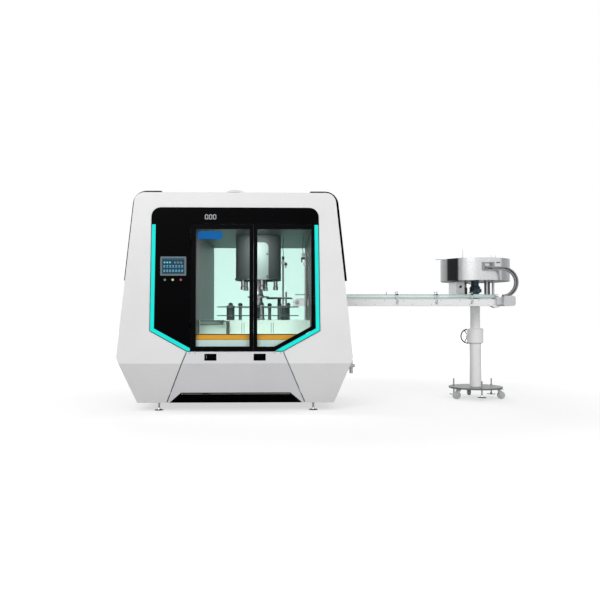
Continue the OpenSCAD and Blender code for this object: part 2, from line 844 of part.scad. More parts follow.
// Table of bent sheet: a top, an apron with door seams, a lower deck and a lip
skirt_t = 6;
seam_w = 5;
table_seams = [64, 86, 358, 380];
stub_r = 30;
module table_bore(x, y) {
    translate([x, y, table_z - table_t - over]) cylinder(r = stub_r + run_fit, h = table_t + 2 * over);
}
module work_table() {
    lip_y = liner_y0 + table_t;
    stand_here() color("honeydew") difference() {
        union() {
            block([cabin_x0, table_y0, table_z - table_t], [cabin_x1, liner_y1, table_z]);
            block([cabin_x0, table_y0, bar_z0 - skirt_t], [cabin_x1, table_y0 + skirt_t, table_z]);
            block([cabin_x0, lip_y, bar_z0 - skirt_t], [cabin_x1, table_y0 + skirt_t, bar_z0]);
            block([cabin_x0, lip_y, liner_z0], [cabin_x1, lip_y + skirt_t, bar_z0]);
        }
        for (x = table_seams) {
            block([x - seam_w / 2, table_y0 - over, bar_z0 + bar_h],
                [x + seam_w / 2, table_y0 + skirt_t / 2, table_z - table_t - skirt_t]);
        }
        table_bore(turret_x, turret_y);
        table_bore(cap_star_x, cap_star_y);
        table_bore(side_star_x(-1), side_star_y);
        table_bore(side_star_x(1), side_star_y);
    }
}
function side_star_x(side) = turret_x + side * star_reach * cos(side_star_angle);
side_star_y = turret_y - star_reach * sin(side_star_angle);

// Orange bar across the cabin, just behind the doors
bar_t = 40;
module orange_bar() {
    bar_y0 = liner_y0 + table_t + skirt_t;
    stand_here() color("orange")
        block([cabin_x0, bar_y0, bar_z0], [cabin_x1, bar_y0 + bar_t, bar_z0 + bar_h]);
}

// Air regulator with its bowl, knob and gauge on the lower right slope
air_out = 20;
air_x = cab_waist_w / 2 + air_out;
air_y = -560;
air_z = 420;
air_w = 46;
air_h = 40;
air_bowl_r = 19;
air_bowl_h = 62;
air_knob_r = 17;
air_knob_h = 38;
air_port_r = 6;
air_port_len = 26;
gauge_r = 20;
gauge_t = 16;
bracket_h = 70;
module air_regulator() {
    stand_here() color("silver") difference() {
        union() {
            block([air_x - air_w / 2, air_y - air_w / 2, air_z], [air_x + air_w / 2, air_y + air_w / 2, air_z + air_h]);
            translate([air_x, air_y, air_z - air_bowl_h]) cylinder(r = air_bowl_r, h = air_bowl_h);
            translate([air_x, air_y, air_z + air_h]) cylinder(r = air_knob_r, h = air_knob_h);
            bar_y(air_x, air_z + air_h / 2, gauge_r, air_y - air_w / 2 - gauge_t, air_y - air_w / 2);
            bar_x(air_y, air_z + air_h / 2, air_knob_r, air_x + air_w / 2, air_x + air_w / 2 + gauge_t);
            intersection() {
                block([air_x - air_w - air_w, air_y - air_w / 2, air_z - bracket_h / 2],
                    [air_x - air_w / 2, air_y + air_w / 2, air_z + bracket_h]);
                upright(air_y - air_w, air_y + air_w) polygon(band(outline(-air_w), outline(0)));
            }
        }
        bar_x(air_y, air_z + air_h / 2, air_port_r, air_x + air_w / 2 + gauge_t - air_port_len,
            air_x + air_w / 2 + gauge_t + over);
    }
}

// Drum that hangs from the ceiling, with the cam ring inside
drum_top_t = 12;
cam_z0 = 1500;
cam_h = 40;
cam_in = 12;
shaft_r = 46;
module cam_drum() {
    stand_here() color("dimgray") translate([turret_x, turret_y, 0]) rotate_extrude() polygon([
        [shaft_r + run_fit, cabin_z1], [shaft_r + run_fit, cabin_z1 - drum_top_t],
        [drum_r - drum_t, cabin_z1 - drum_top_t], [drum_r - drum_t, cam_z0 + cam_h],
        [drum_r - drum_t - cam_in, cam_z0 + cam_h], [drum_r - drum_t - cam_in, cam_z0],
        [drum_r - drum_t, cam_z0], [drum_r - drum_t, drum_z0], [drum_r, drum_z0], [drum_r, cabin_z1]
    ]);
}

// Bright cover plate on the front of the drum
cover_left = 74;
cover_w = 188;
cover_t = 6;
cover_z1 = 1745;
cover_r = 50;
module drum_cover() {
    stand_here() color("gainsboro") intersection() {
        translate([turret_x, turret_y, 0]) difference() {
            cylinder(r = drum_r + cover_t, h = cabin_z1);
            translate([0, 0, -over]) cylinder(r = drum_r, h = cabin_z1 + 2 * over);
        }
        upright(turret_y - drum_r - over, turret_y) polygon(rounded(
            rectangle(turret_x - cover_left, drum_z0 + cover_t, cover_w, cover_z1 - drum_z0), [0, 0, cover_r, cover_r]));
    }
}

// Turret column with its foot, flange, flare and head plate
column_foot_r = 70;
column_foot_h = 22;
star_shaft_r = 46;
flange_r = 118;
flange_z = 1166;
flange_t = 14;
flare_r = 72;
flare_h = 80;
head_plate_z = 1376;
head_plate_t = 20;
head_plate_gap = 8;
flare_steps = 8;
function head_angle(i) = 180 + side_star_angle + i * 360 / heads;
module turret_column() {
    stand_here() color("lightgray") translate([turret_x, turret_y, 0]) difference() {
        rotate_extrude() polygon(concat(
            [
                [0, table_z - table_t], [stub_r, table_z - table_t], [stub_r, table_z + gap],
                [column_foot_r, table_z + gap], [column_foot_r, table_z + column_foot_h],
                [star_shaft_r, table_z + column_foot_h], [star_shaft_r, flange_z],
                [flange_r, flange_z], [flange_r, flange_z + flange_t], [flare_r, flange_z + flange_t]
            ],
            [
                for (i = [1:flare_steps])
                    [flare_r - (flare_r - shaft_r) * sin(90 * i / flare_steps),
                        flange_z + flange_t + flare_h * (1 - cos(90 * i / flare_steps))]
            ],
            [
                [shaft_r, head_plate_z], [drum_r - drum_t - head_plate_gap, head_plate_z],
                [drum_r - drum_t - head_plate_gap, head_plate_z + head_plate_t],
                [shaft_r, head_plate_z + head_plate_t], [shaft_r, cabin_z1 - gap], [0, cabin_z1 - gap]
            ]
        ));
        for (i = [0:heads - 1]) {
            translate([head_circle * cos(head_angle(i)), head_circle * sin(head_angle(i)), head_plate_z - over])
                cylinder(r = head_d / 2 + run_fit, h = head_plate_t + 2 * over);
        }
    }
}

// A star disc with pockets, and the hub between a pair of discs
module star_disc(circle, pockets, first, pocket, t) {
    linear_extrude(t) difference() {
        circle(r = circle - star_rim_gap);
        for (i = [0:pockets - 1]) {
            translate(circle * [cos(first + i * 360 / pockets), sin(first + i * 360 / pockets)]) circle(r = pocket);
        }
    }
}
star_hub_r = 64;
module main_star() {
    stand_here() color("gainsboro") translate([turret_x, turret_y, 0]) difference() {
        union() {
            for (z = [star_low_z, star_high_z]) {
                translate([0, 0, z]) star_disc(head_circle, heads, head_angle(0), pocket_r, star_t);
            }
            translate([0, 0, table_z + column_foot_h]) cylinder(r = star_hub_r, h = star_high_z + star_t - table_z);
        }
        translate([0, 0, table_z]) cylinder(r = star_shaft_r + run_fit, h = flange_z - table_z);
    }
}

// A side star on its own shaft; its first pocket meets the turret's nearest pocket
function meeting(back) =
    let (off = [for (i = [0:heads - 1]) swing((head_angle(i) - back - 180) % 360)], near = min([for (o = off) abs(o)]))
    [for (o = off) if (abs(o) == near) o][0];
function first_pocket(back) = back - meeting(back) * heads / side_pockets;
module star_shaft(top) {
    cylinder(r = stub_r, h = table_t + gap);
    translate([0, 0, table_t + gap]) cylinder(r = star_hub_r * 2 / 3, h = top - table_z - gap);
}
module side_star(side) {
    back = side < 0 ? side_star_angle : 180 - side_star_angle;
    stand_here() color("gainsboro") translate([side_star_x(side), side_star_y, 0]) {
        translate([0, 0, table_z - table_t]) star_shaft(star_high_z + star_t + star_t);
        for (z = [star_low_z, star_high_z]) {
            translate([0, 0, z]) star_disc(side_circle, side_pockets, first_pocket(back), pocket_r, star_t);
        }
    }
}
module infeed_star() {
    side_star(-1);
}
module outfeed_star() {
    side_star(1);
}
cap_star_lift = 4;
cap_star_t = 12;
cap_shaft_r = 20;
module cap_star() {
    stand_here() color("darkslategray") translate([cap_star_x, cap_star_y, 0]) {
        translate([0, 0, table_z - table_t]) cylinder(r = stub_r, h = table_t + gap);
        translate([0, 0, table_z + gap]) cylinder(r = cap_shaft_r, h = belt_z + cap_star_lift - table_z);
        translate([0, 0, belt_z + cap_star_lift])
            star_disc(side_circle, side_pockets, first_pocket(180 + cap_star_angle), cap_pocket_r, cap_star_t);
    }
}

// Capping heads: a shaft held in the head plate by its collar, with a chuck at the bottom
collar_r = 28;
collar_t = 10;
pin_top_z = 1446;
chuck_h = 34;
chuck_bore_r = 17;
chuck_bore_h = 16;
chuck_slope = 10;
module capping_head(i) {
    stand_here() color("silver")
        translate([turret_x + head_circle * cos(head_angle(i)), turret_y + head_circle * sin(head_angle(i)), 0])
            rotate_extrude() polygon([
                [0, head_z0 + chuck_bore_h], [chuck_bore_r, head_z0 + chuck_bore_h], [chuck_bore_r, head_z0],
                [chuck_d / 2, head_z0], [chuck_d / 2, head_z0 + chuck_h],
                [head_d / 2, head_z0 + chuck_h + chuck_slope], [head_d / 2, head_plate_z + head_plate_t + gap],
                [collar_r, head_plate_z + head_plate_t + gap], [collar_r, head_plate_z + head_plate_t + gap + collar_t],
                [head_d / 2 - chuck_slope, head_plate_z + head_plate_t + gap + collar_t],
                [head_d / 2 - chuck_slope, pin_top_z], [0, pin_top_z]
            ]);
}
module capping_head_1() {
    capping_head(0);
}
module capping_head_2() {
    capping_head(1);
}
module capping_head_3() {
    capping_head(2);
}
module capping_head_4() {
    capping_head(3);
}
module capping_head_5() {
    capping_head(4);
}

// Guides: the back guide at two levels, the centre guide, the cap track and the infeed platform
guide_clear = 4;
guide_w = 26;
guide_t = 10;
guide_from = 2;
post_r = 18;
post_out = 5;
bolt_r = 6;
knob_r = 22;
knob_h = 26;
knob_z0 = 1078;
lug_w = 56;
track_w = 48;
track_t = 5;
track_rim_h = 22;
track_rim_t = 5;
track_from = -145;
track_turn = 85;
track_rim_turn = 50;
guide_in = head_circle + pocket_r + guide_clear;
guide_mid = guide_in + guide_w / 2;
lug_reach = 84;
lug_angles = [5, 174];
function round_turret(r, a) = [turret_x + r * cos(a), turret_y + r * sin(a)];
guide_posts_at = [
    round_turret(guide_mid + lug_reach * 3 / 4, 172), round_turret(guide_mid + post_out, 145),
    round_turret(guide_mid + post_out, 61.7), round_turret(guide_mid + post_out, 23.7),
    round_turret(guide_mid + lug_reach, 8), [166, -520], [250, -520]
];
tall_posts_at = [[480, -176], [514, -176]];
centre_x0 = 26;
centre_w = 364;
centre_y0 = -596;
centre_d = 126;
module guide_level() {
    r = 2 * guide_in;
    linear_extrude(guide_t) difference() {
        union() {
            translate([turret_x, turret_y]) {
                intersection() {
                    difference() {
                        circle(r = guide_in + guide_w);
                        circle(r = guide_in);
                    }
                    polygon([[0, 0], r * [cos(guide_from), sin(guide_from)], [r, r], [-r, r], r * [-cos(guide_from), sin(guide_from)]]);
                }
                for (a = lug_angles) {
                    rotate([0, 0, a]) translate([guide_mid, -lug_w / 2]) square([lug_reach + post_r, lug_w]);
                }
            }
            difference() {
                translate([centre_x0, centre_y0]) square([centre_w, centre_d]);
                translate([turret_x, turret_y]) circle(r = guide_in);
                for (side = [-1, 1]) {
                    translate([side_star_x(side), side_star_y]) circle(r = side_circle + pocket_r + guide_clear);
                }
            }
        }
        for (p = guide_posts_at) {
            translate(p) circle(r = bolt_r + run_fit);
        }
    }
}
plat_x0 = -376;
plat_x1 = -130;
plat_y0 = -740;
plat_t = 8;
plat_leg_r = 18;
plat_leg_x = -92;
module bottle_guides() {
    stand_here() color("gainsboro") {
        for (z = [star_low_z, star_high_z]) {
            translate([0, 0, z]) guide_level();
        }
        difference() {
            union() {
                block([cap_star_x, belt_y - track_w, belt_z - track_t], [conv_x0 - seam, belt_y + track_w / 2, belt_z]);
                translate([cap_star_x, cap_star_y, belt_z - track_t]) rotate([0, 0, track_from]) {
                    rotate_extrude(angle = track_turn) translate([side_circle - track_w / 2, 0])
                        square([track_w, track_t]);
                    rotate_extrude(angle = track_rim_turn) translate([side_circle + track_w / 2 - track_rim_t, 0])
                        square([track_rim_t, track_rim_h]);
                }
            }
            for (p = tall_posts_at) {
                translate([p.x, p.y, belt_z - over]) cylinder(r = tall_post_r + run_fit, h = 2 * over);
            }
        }
        block([plat_x0, plat_y0, table_z - plat_t], [plat_x1, table_y0, table_z]);
        block([plat_x0, plat_y0 + over, table_z - 6 * plat_t], [plat_x1 - over, table_y0, table_z - 5 * plat_t]);
        block([plat_x1 - 3 * plat_t, plat_y0 + over, table_z - 6 * plat_t], [plat_x1 - 2 * plat_t, table_y0, table_z]);
        block([plat_x1 - over, plat_y0 + over, table_z - 2 * plat_t], [plat_leg_x, plat_y0 + 2 * over, table_z - plat_t]);
        translate([plat_leg_x, plat_y0 + 2 * over, bar_z0]) cylinder(r = plat_leg_r, h = table_z - plat_t - bar_z0);
    }
}

// Posts of the guides with their hand knobs, and the tall sensor posts
post_stack = [
    [table_z, knob_z0, bolt_r], [table_z, star_low_z, post_r], [star_low_z + guide_t, star_high_z, post_r],
    [star_high_z + guide_t, knob_z0, post_r], [knob_z0, knob_z0 + knob_h, knob_r]
];
tall_post_r = 10;
tall_z1 = 1615;
short_z1 = 1232;
clamp_z = 1540;
clamp_h = 34;
clamp_w = 40;
wall_post_x = 730;
wall_post_y = -330;
wall_post_z1 = 1650;
wall_arm = 46;
module guide_posts() {
    stand_here() color("silver") {
        for (p = guide_posts_at) {
            for (c = post_stack) {
                translate([p.x, p.y, c[0]]) cylinder(r = c[2], h = c[1] - c[0]);
            }
        }
        for (i = [0, 1]) {
            translate([tall_posts_at[i].x, tall_posts_at[i].y, table_z])
                cylinder(r = tall_post_r, h = (i == 0 ? tall_z1 : short_z1) - table_z);
        }
        block([tall_posts_at[0].x - clamp_w / 2, tall_posts_at[0].y - clamp_w / 2, clamp_z],
            [tall_posts_at[0].x + clamp_w / 2, tall_posts_at[0].y + clamp_w / 2, clamp_z + clamp_h]);
        translate([wall_post_x, wall_post_y, table_z]) cylinder(r = tall_post_r + track_t, h = wall_post_z1 - table_z);
        block([wall_post_x - wall_arm, wall_post_y - tall_post_r, wall_post_z1 - clamp_h],
            [cabin_x1, wall_post_y + tall_post_r, wall_post_z1]);
    }
}

// Cap conveyor: belt, rollers, side plates, spacers and wear strip
roller_gap = 0.5;
axle_r = 10;
axis_z = belt_z - belt_t - roller_gap - roller_r;
idler_x = conv_x0 + roller_r + roller_gap + belt_t;
loop_r = roller_r + roller_gap;
module half_loop(x, turn) {
    translate([x, belt_y + belt_w / 2, axis_z]) rotate([90, 0, 0]) rotate([0, 0, turn])
        rotate_extrude(angle = 180) translate([loop_r, 0]) square([belt_t, belt_w]);
}
module conveyor_belt() {
    stand_here() color("darkseagreen") {
        half_loop(idler_x, 90);
        half_loop(drive_x, -90);
        for (z = [axis_z + loop_r, axis_z - loop_r - belt_t]) {
            block([idler_x, belt_y - belt_w / 2, z], [drive_x, belt_y + belt_w / 2, z + belt_t]);
        }
    }
}

plate_drop = 5;
plate_end = 26;
spacer_pitch = 380;
spacer_w = 12;
strip_h = 8;
strip_gap = 0.5;
slot_w = 10;
slot_len = 60;
guard_x = 2868;
guard_r = 60;
guard_drop = 20;
plate_out = frame_gap / 2 + plate_t;
module conveyor_frame() {
    plate_z1 = belt_z - plate_drop;
    plate_z0 = plate_z1 - frame_h;
    strip_top = axis_z + loop_r - strip_gap;
    stand_here() color("gainsboro") difference() {
        union() {
            for (side = [-1, 1]) {
                block([conv_x0 + plate_drop, belt_y + min(side * frame_gap / 2, side * plate_out), plate_z0],
                    [drive_x + plate_end, belt_y + max(side * frame_gap / 2, side * plate_out), plate_z1]);
            }
            for (x = [idler_x + spacer_pitch / 4 : spacer_pitch : drive_x - spacer_pitch / 3]) {
                block([x, belt_y - frame_gap / 2, axis_z - roller_r / 2],
                    [x + spacer_w, belt_y + frame_gap / 2, strip_top - strip_h]);
            }
            block([idler_x + roller_r + over, belt_y - belt_w / 2, strip_top - strip_h],
                [drive_x - roller_r - over, belt_y + belt_w / 2, strip_top]);
            intersection() {
                bar_y(guard_x, plate_z0 - guard_drop + guard_r, guard_r, belt_y - plate_out, belt_y + plate_out);
                block([guard_x - guard_r, belt_y - plate_out, plate_z0 - over],
                    [guard_x + guard_r, belt_y + plate_out, plate_z0]);
            }
        }
        for (x = [idler_x, drive_x]) {
            bar_y(x, axis_z, axle_r + run_fit, belt_y - plate_out - over, belt_y + plate_out + over);
        }
        for (x = [idler_x + slot_len : slot_len + over : idler_x + 3 * slot_len]) {
            block([x, belt_y - plate_out - over, axis_z - slot_w / 2],
                [x + slot_len - over, belt_y + plate_out + over, axis_z + slot_w / 2]);
        }
    }
}
drive_len = 96;
module drive_roller() {
    stand_here() color("silver") {
        bar_y(drive_x, axis_z, roller_r, belt_y - belt_w / 2, belt_y + belt_w / 2);
        bar_y(drive_x, axis_z, axle_r, belt_y - plate_out - drive_len, belt_y + plate_out + plate_t);
    }
}
module idler_roller() {
    stand_here() color("silver") {
        bar_y(idler_x, axis_z, roller_r, belt_y - belt_w / 2, belt_y + belt_w / 2);
        bar_y(idler_x, axis_z, axle_r, belt_y - plate_out - plate_t, belt_y + plate_out + plate_t);
    }
}

// Guide rails on posts with clamp knobs
rail_y = 24;
rail_x1 = 2900;
rail_posts_x = [860, 1752, 2196, 2592];
rail_block_w = 22;
rail_block_t = 14;
rail_post_r = 5;
rail_knob_r = 11;
rail_knob_h = 16;
rail_post_over = 30;
rail_arm_r = 3;
probe_x = 1637;
module guide_rails() {
    post_y = plate_out + rail_block_t / 2;
    stand_here() color("silver") {
        for (side = [-1, 1]) {
            bar_x(belt_y + side * rail_y, rail_z, rail_d / 2, conv_x0 + over, rail_x1);
            for (x = rail_posts_x) {
                translate([x - rail_block_w / 2, belt_y + side * post_y - rail_block_t / 2, axis_z - rail_block_w])
                    cube([rail_block_w, rail_block_t, 2 * rail_block_w]);
                translate([x, belt_y + side * post_y, axis_z])
                    cylinder(r = rail_post_r, h = rail_z + rail_post_over - axis_z);
                translate([x, belt_y + side * post_y, rail_z - rail_knob_h / 2])
                    cylinder(r = rail_knob_r, h = rail_knob_h);
                bar_y(x, rail_z, rail_arm_r, belt_y + min(side * rail_y, side * post_y),
                    belt_y + max(side * rail_y, side * post_y));
            }
        }
        translate([probe_x, belt_y - rail_y, rail_z]) cylinder(r = rail_post_r, h = rail_post_over);
    }
}

// Gearmotor on the front of the conveyor's outer end
gear_x0 = 2922;
gear_x1 = 3052;
gear_z0 = 1077;
gear_z1 = 1188;
gear_r = 26;
gear_d = 104;
block_x0 = 2858;
block_d = 44;
block_rise = 14;
module conveyor_gearmotor() {
    face_y = belt_y - plate_out;
    stand_here() color("gainsboro") difference() {
        union() {
            upright(face_y - gear_d, face_y) polygon(rounded(
                rectangle(gear_x0, gear_z0, gear_x1 - gear_x0, gear_z1 - gear_z0), [gear_r / 2, gear_r, gear_r, gear_r / 2]));
            block([block_x0, face_y - block_d, gear_z0 + block_rise], [gear_x0, face_y, gear_z1 - block_rise]);
        }
        bar_y(drive_x, axis_z, axle_r + run_fit, face_y - gear_d + block_rise / 2, face_y + over);
    }
}

// Bowl with its floor and an outlet window at the front
bowl_floor_t = 8;
bead_r = 5;
disc_shaft_r = 18;
chute_lift = 9;
outlet_z = belt_z + chute_lift + chute_gap / 2 + chute_t + 2 * chute_r;
window_h = 36;
window_w = 96;
module feeder_bowl() {
    stand_here() color("silver") difference() {
        translate([bowl_x, feeder_y, bowl_z0]) {
            rotate_extrude() polygon([
                [disc_shaft_r + run_fit, 0], [bowl_r, 0], [bowl_r, bowl_h], [bowl_r - bowl_t, bowl_h],
                [bowl_r - bowl_t, bowl_floor_t], [disc_shaft_r + run_fit, bowl_floor_t]
            ]);
            rotate_extrude() translate([bowl_r - bead_r, bowl_h - bead_r]) circle(r = bead_r);
        }
        block([bowl_x, feeder_y - bowl_r - over, outlet_z - window_h / 2],
            [bowl_x + window_w, feeder_y - bowl_r / 2, outlet_z + window_h / 2]);
    }
}

// Sorting disc: a shallow dome on a hub and shaft
disc_gap = 4;
disc_t = 5;
disc_drop = 20;
dome_h = 44;
dome_steps = 8;
disc_hub_r = 40;
shaft_dip = 24;
module sorting_disc() {
    rim_r = bowl_r - bowl_t - disc_gap;
    rim_z = outlet_z - window_h / 2 - disc_t;
    under = [for (i = [dome_steps:-1:1]) [rim_r * i / dome_steps, rim_z + dome_h * (1 - pow(i / dome_steps, 2))]];
    stand_here() color("lightgray") translate([bowl_x, feeder_y, 0]) rotate_extrude() polygon(concat(
        [
            [0, bowl_z0 - shaft_dip], [disc_shaft_r, bowl_z0 - shaft_dip],
            [disc_shaft_r, bowl_z0 + bowl_floor_t + gap], [disc_hub_r, bowl_z0 + bowl_floor_t + gap],
            [disc_hub_r, rim_z + dome_h - disc_t]
        ],
        backwards(under),
        [for (p = under) p + [0, disc_t]],
        [[0, rim_z + dome_h + disc_t]]
    ));
}

// Motor under the bowl
motor_r = 62;
motor_neck_r = 46;
motor_neck_z = 1306;
motor_z0 = 1226;
motor_foot_r = 44;
motor_foot_h = 18;
terminal_w = 56;
terminal_h = 40;
module bowl_motor() {
    stand_here() color("darkslategray") translate([bowl_x, feeder_y, 0]) {
        rotate_extrude() polygon([
            [0, motor_z0], [motor_foot_r, motor_z0], [motor_r, motor_z0 + motor_foot_h], [motor_r, motor_neck_z],
            [motor_neck_r, motor_neck_z + motor_foot_h], [motor_neck_r, bowl_z0],
            [disc_shaft_r + run_fit, bowl_z0], [disc_shaft_r + run_fit, bowl_z0 - shaft_dip - gap],
            [0, bowl_z0 - shaft_dip - gap]
        ]);
        block([0, -motor_r - terminal_h / 2, motor_z0 + motor_foot_h],
            [terminal_w, -motor_neck_r, motor_z0 + motor_foot_h + terminal_h]);
    }
}

// Base plate under the bowl with posts, boxes and brackets
deck_z0 = 1188;
deck_t = 10;
deck_x0 = -290;
deck_x1 = 226;
deck_half_d = 232;
deck_r = 40;
box_x0 = -268;
box_w = 96;
box_y0 = -181;
box_d = 366;
box_h = 166;
box_knob_r = 14;
box_knob_t = 12;
box_knob_z = 108;
side_box_w = 46;
side_box_d = 120;
side_box_h = 100;
support_r = 15;
support_flange_r = 30;
support_flange_t = 8;
supports_at = [[172, -150], [172, 150], [-60, 196], [84, -196]];
arm_xs = [-100, 110];
arm_w = 40;
arm_t = 12;
arm_tab = 60;
module bowl_supports() {
    arm_y0 = belt_y + plate_out - feeder_y;
    stand_here() color("gainsboro") translate([bowl_x, feeder_y, deck_z0]) {
        linear_extrude(deck_t)
            polygon(soft_rectangle(deck_x0, -deck_half_d, deck_x1 - deck_x0, 2 * deck_half_d, deck_r));
        for (p = supports_at) {
            translate([p.x, p.y, deck_t]) {
                cylinder(r = support_flange_r, h = support_flange_t);
                cylinder(r = support_r, h = bowl_z0 - deck_z0 - deck_t);
                translate([0, 0, bowl_z0 - deck_z0 - deck_t - support_flange_t])
                    cylinder(r = support_flange_r, h = support_flange_t);
            }
        }
        block([box_x0, box_y0, deck_t], [box_x0 + box_w, box_y0 + box_d, deck_t + box_h]);
        bar_y(box_x0 + box_w / 2, deck_t + box_knob_z, box_knob_r, box_y0 - box_knob_t, box_y0);
        block([box_x0 + box_w, box_y0 + side_box_w, deck_t],
            [box_x0 + box_w + side_box_w, box_y0 + side_box_w + side_box_d, deck_t + side_box_h]);
        for (x = arm_xs) {
            block([x - arm_w / 2, arm_y0, -arm_t], [x + arm_w / 2, box_y0 + arm_w, 0]);
            block([x - arm_w / 2, arm_y0, -arm_t - arm_tab], [x + arm_w / 2, arm_y0 + arm_t, 0]);
        }
    }
}

// Cap chute: a C channel that runs off the bowl and bends down to the belt
chute_slot = 14;
bar_rise = 62;
bar_len = 104;
bar_s = 10;
head_block_w = 30;
module chute_section() {
    h = chute_gap / 2;
    o = h + chute_t;
    difference() {
        translate([-o, -chute_w / 2]) square([2 * o, chute_w]);
        translate([-h, -chute_w / 2 + chute_t]) square([2 * h, chute_w - 2 * chute_t]);
        translate([-chute_slot / 2, 0]) square([chute_slot, chute_w]);
    }
}
module cap_chute() {
    chute_z = outlet_z - chute_r;
    stand_here() color("silver") difference() {
        union() {
            translate([chute_x, belt_y, chute_z]) rotate([90, 0, 0]) rotate([0, 0, -90])
                rotate_extrude(angle = 180) translate([chute_r, 0]) chute_section();
            crosswise(bowl_x, chute_x) translate([belt_y, outlet_z]) rotate([0, 0, 90]) chute_section();
            for (z = [bar_rise / 3, bar_rise]) {
                block([bowl_x, belt_y, outlet_z + z], [bowl_x + bar_len, belt_y + bar_s, outlet_z + z + bar_s]);
            }
            block([bowl_x - head_block_w, belt_y - bar_s / 2, outlet_z - chute_gap / 2 - chute_t],
                [bowl_x, belt_y + chute_w / 2 + bowl_gap / 2, outlet_z + bar_rise + bar_s]);
            block([bowl_x + bar_len - head_block_w, belt_y - bar_s, outlet_z + chute_gap / 2 + chute_t],
                [bowl_x + bar_len, belt_y + bar_s, outlet_z + bar_rise + bar_s]);
        }
        block([bowl_x, belt_y + chute_w / 2 - chute_t - chute_t, outlet_z - chute_gap / 2],
            [bowl_x + window_w, belt_y + chute_w, outlet_z + chute_gap / 2]);
    }
}

// Sliding tube with its top flange
tube_z0 = 560;
tube_flange_r = 96;
tube_flange_t = 12;
tube_wall = 6;
module upper_tube() {
    stand_here() color("gainsboro") translate([bowl_x, feeder_y, 0]) difference() {
        union() {
            translate([0, 0, tube_z0]) cylinder(r = tube_d / 2, h = deck_z0 - tube_z0);
            translate([0, 0, deck_z0 - tube_flange_t]) cylinder(r = tube_flange_r, h = tube_flange_t);
        }
        translate([0, 0, tube_z0 - over]) cylinder(r = tube_d / 2 - tube_wall, h = deck_z0 - tube_flange_t - tube_z0 + over);
    }
}

// Stand: base plate, column, sleeve with a bored top, and the bearing of the handwheel
bore_z0 = foot_plate_z + foot_plate_t;
sleeve_taper = 14;
wheel_shaft_r = 9;
hand_x = -53;
hand_z = 724;
hand_boss_r = 30;
hand_boss_len = 118;
hand_bore = 30;
swivel_pin_r = 8;
swivel_pin_h = 14;
caster_angles = [210, 330, 90];
trail_angles = [190, 350, 90];
function caster_at(i) = [caster_circle * cos(caster_angles[i]), caster_circle * sin(caster_angles[i])];
module stand_base() {
    stand_here() color("gainsboro") translate([bowl_x, feeder_y, 0]) difference() {
        union() {
            translate([0, 0, foot_plate_z]) cylinder(r = foot_plate_r, h = foot_plate_t);
            translate([0, 0, foot_plate_z]) cylinder(r = column_d / 2, h = sleeve_z0 - foot_plate_z);
            rotate_extrude() polygon([
                [0, sleeve_z0 - sleeve_taper], [column_d / 2, sleeve_z0 - sleeve_taper], [sleeve_w / 2, sleeve_z0],
                [sleeve_w / 2, sleeve_z1 - sleeve_taper], [sleeve_w / 2 - sleeve_taper, sleeve_z1], [0, sleeve_z1]
            ]);
            bar_y(hand_x, hand_z, hand_boss_r, 0, hand_boss_len);
        }
        translate([0, 0, bore_z0]) cylinder(r = tube_d / 2 + run_fit, h = sleeve_z1);
        bar_y(hand_x, hand_z, wheel_shaft_r + run_fit, hand_boss_len - hand_bore, hand_boss_len + over);
        for (i = [0:2]) {
            translate([caster_at(i).x, caster_at(i).y, foot_plate_z - over])
                cylinder(r = swivel_pin_r + run_fit, h = swivel_pin_h + over);
        }
        for (a = screw_angles) {
            translate([screw_circle * cos(a), screw_circle * sin(a), foot_plate_z - over])
                cylinder(r = stand_screw_r + run_fit, h = foot_plate_t + 2 * over);
        }
    }
}

// Handwheel with three spokes and a crank knob
rim_tube_r = 7;
hub_r = 18;
hub_len = 24;
spoke_r = 5;
crank_r = 9;
crank_len = 46;
crank_in = 8;
module handwheel() {
    rim_r = handwheel_d / 2 - rim_tube_r;
    stand_here() color("dimgray")
        translate([bowl_x + hand_x, feeder_y + hand_boss_len + gap, hand_z]) rotate([-90, 0, 0]) {
            translate([0, 0, -hand_bore]) cylinder(r = wheel_shaft_r, h = hand_bore + hub_len);
            cylinder(r = hub_r, h = hub_len);
            translate([0, 0, hub_len / 2]) {
                rotate_extrude() translate([rim_r, 0]) circle(r = rim_tube_r);
                for (a = [0, 120, 240]) {
                    rotate([0, 0, a]) rotate([0, 90, 0]) cylinder(r = spoke_r, h = rim_r);
                }
            }
            translate([rim_r, 0, hub_len / 2]) cylinder(r = crank_r - crank_in / 2, h = crank_len);
            translate([rim_r, 0, hub_len / 2 + rim_tube_r + crank_in]) cylinder(r = crank_r, h = crank_len - crank_in);
        }
}

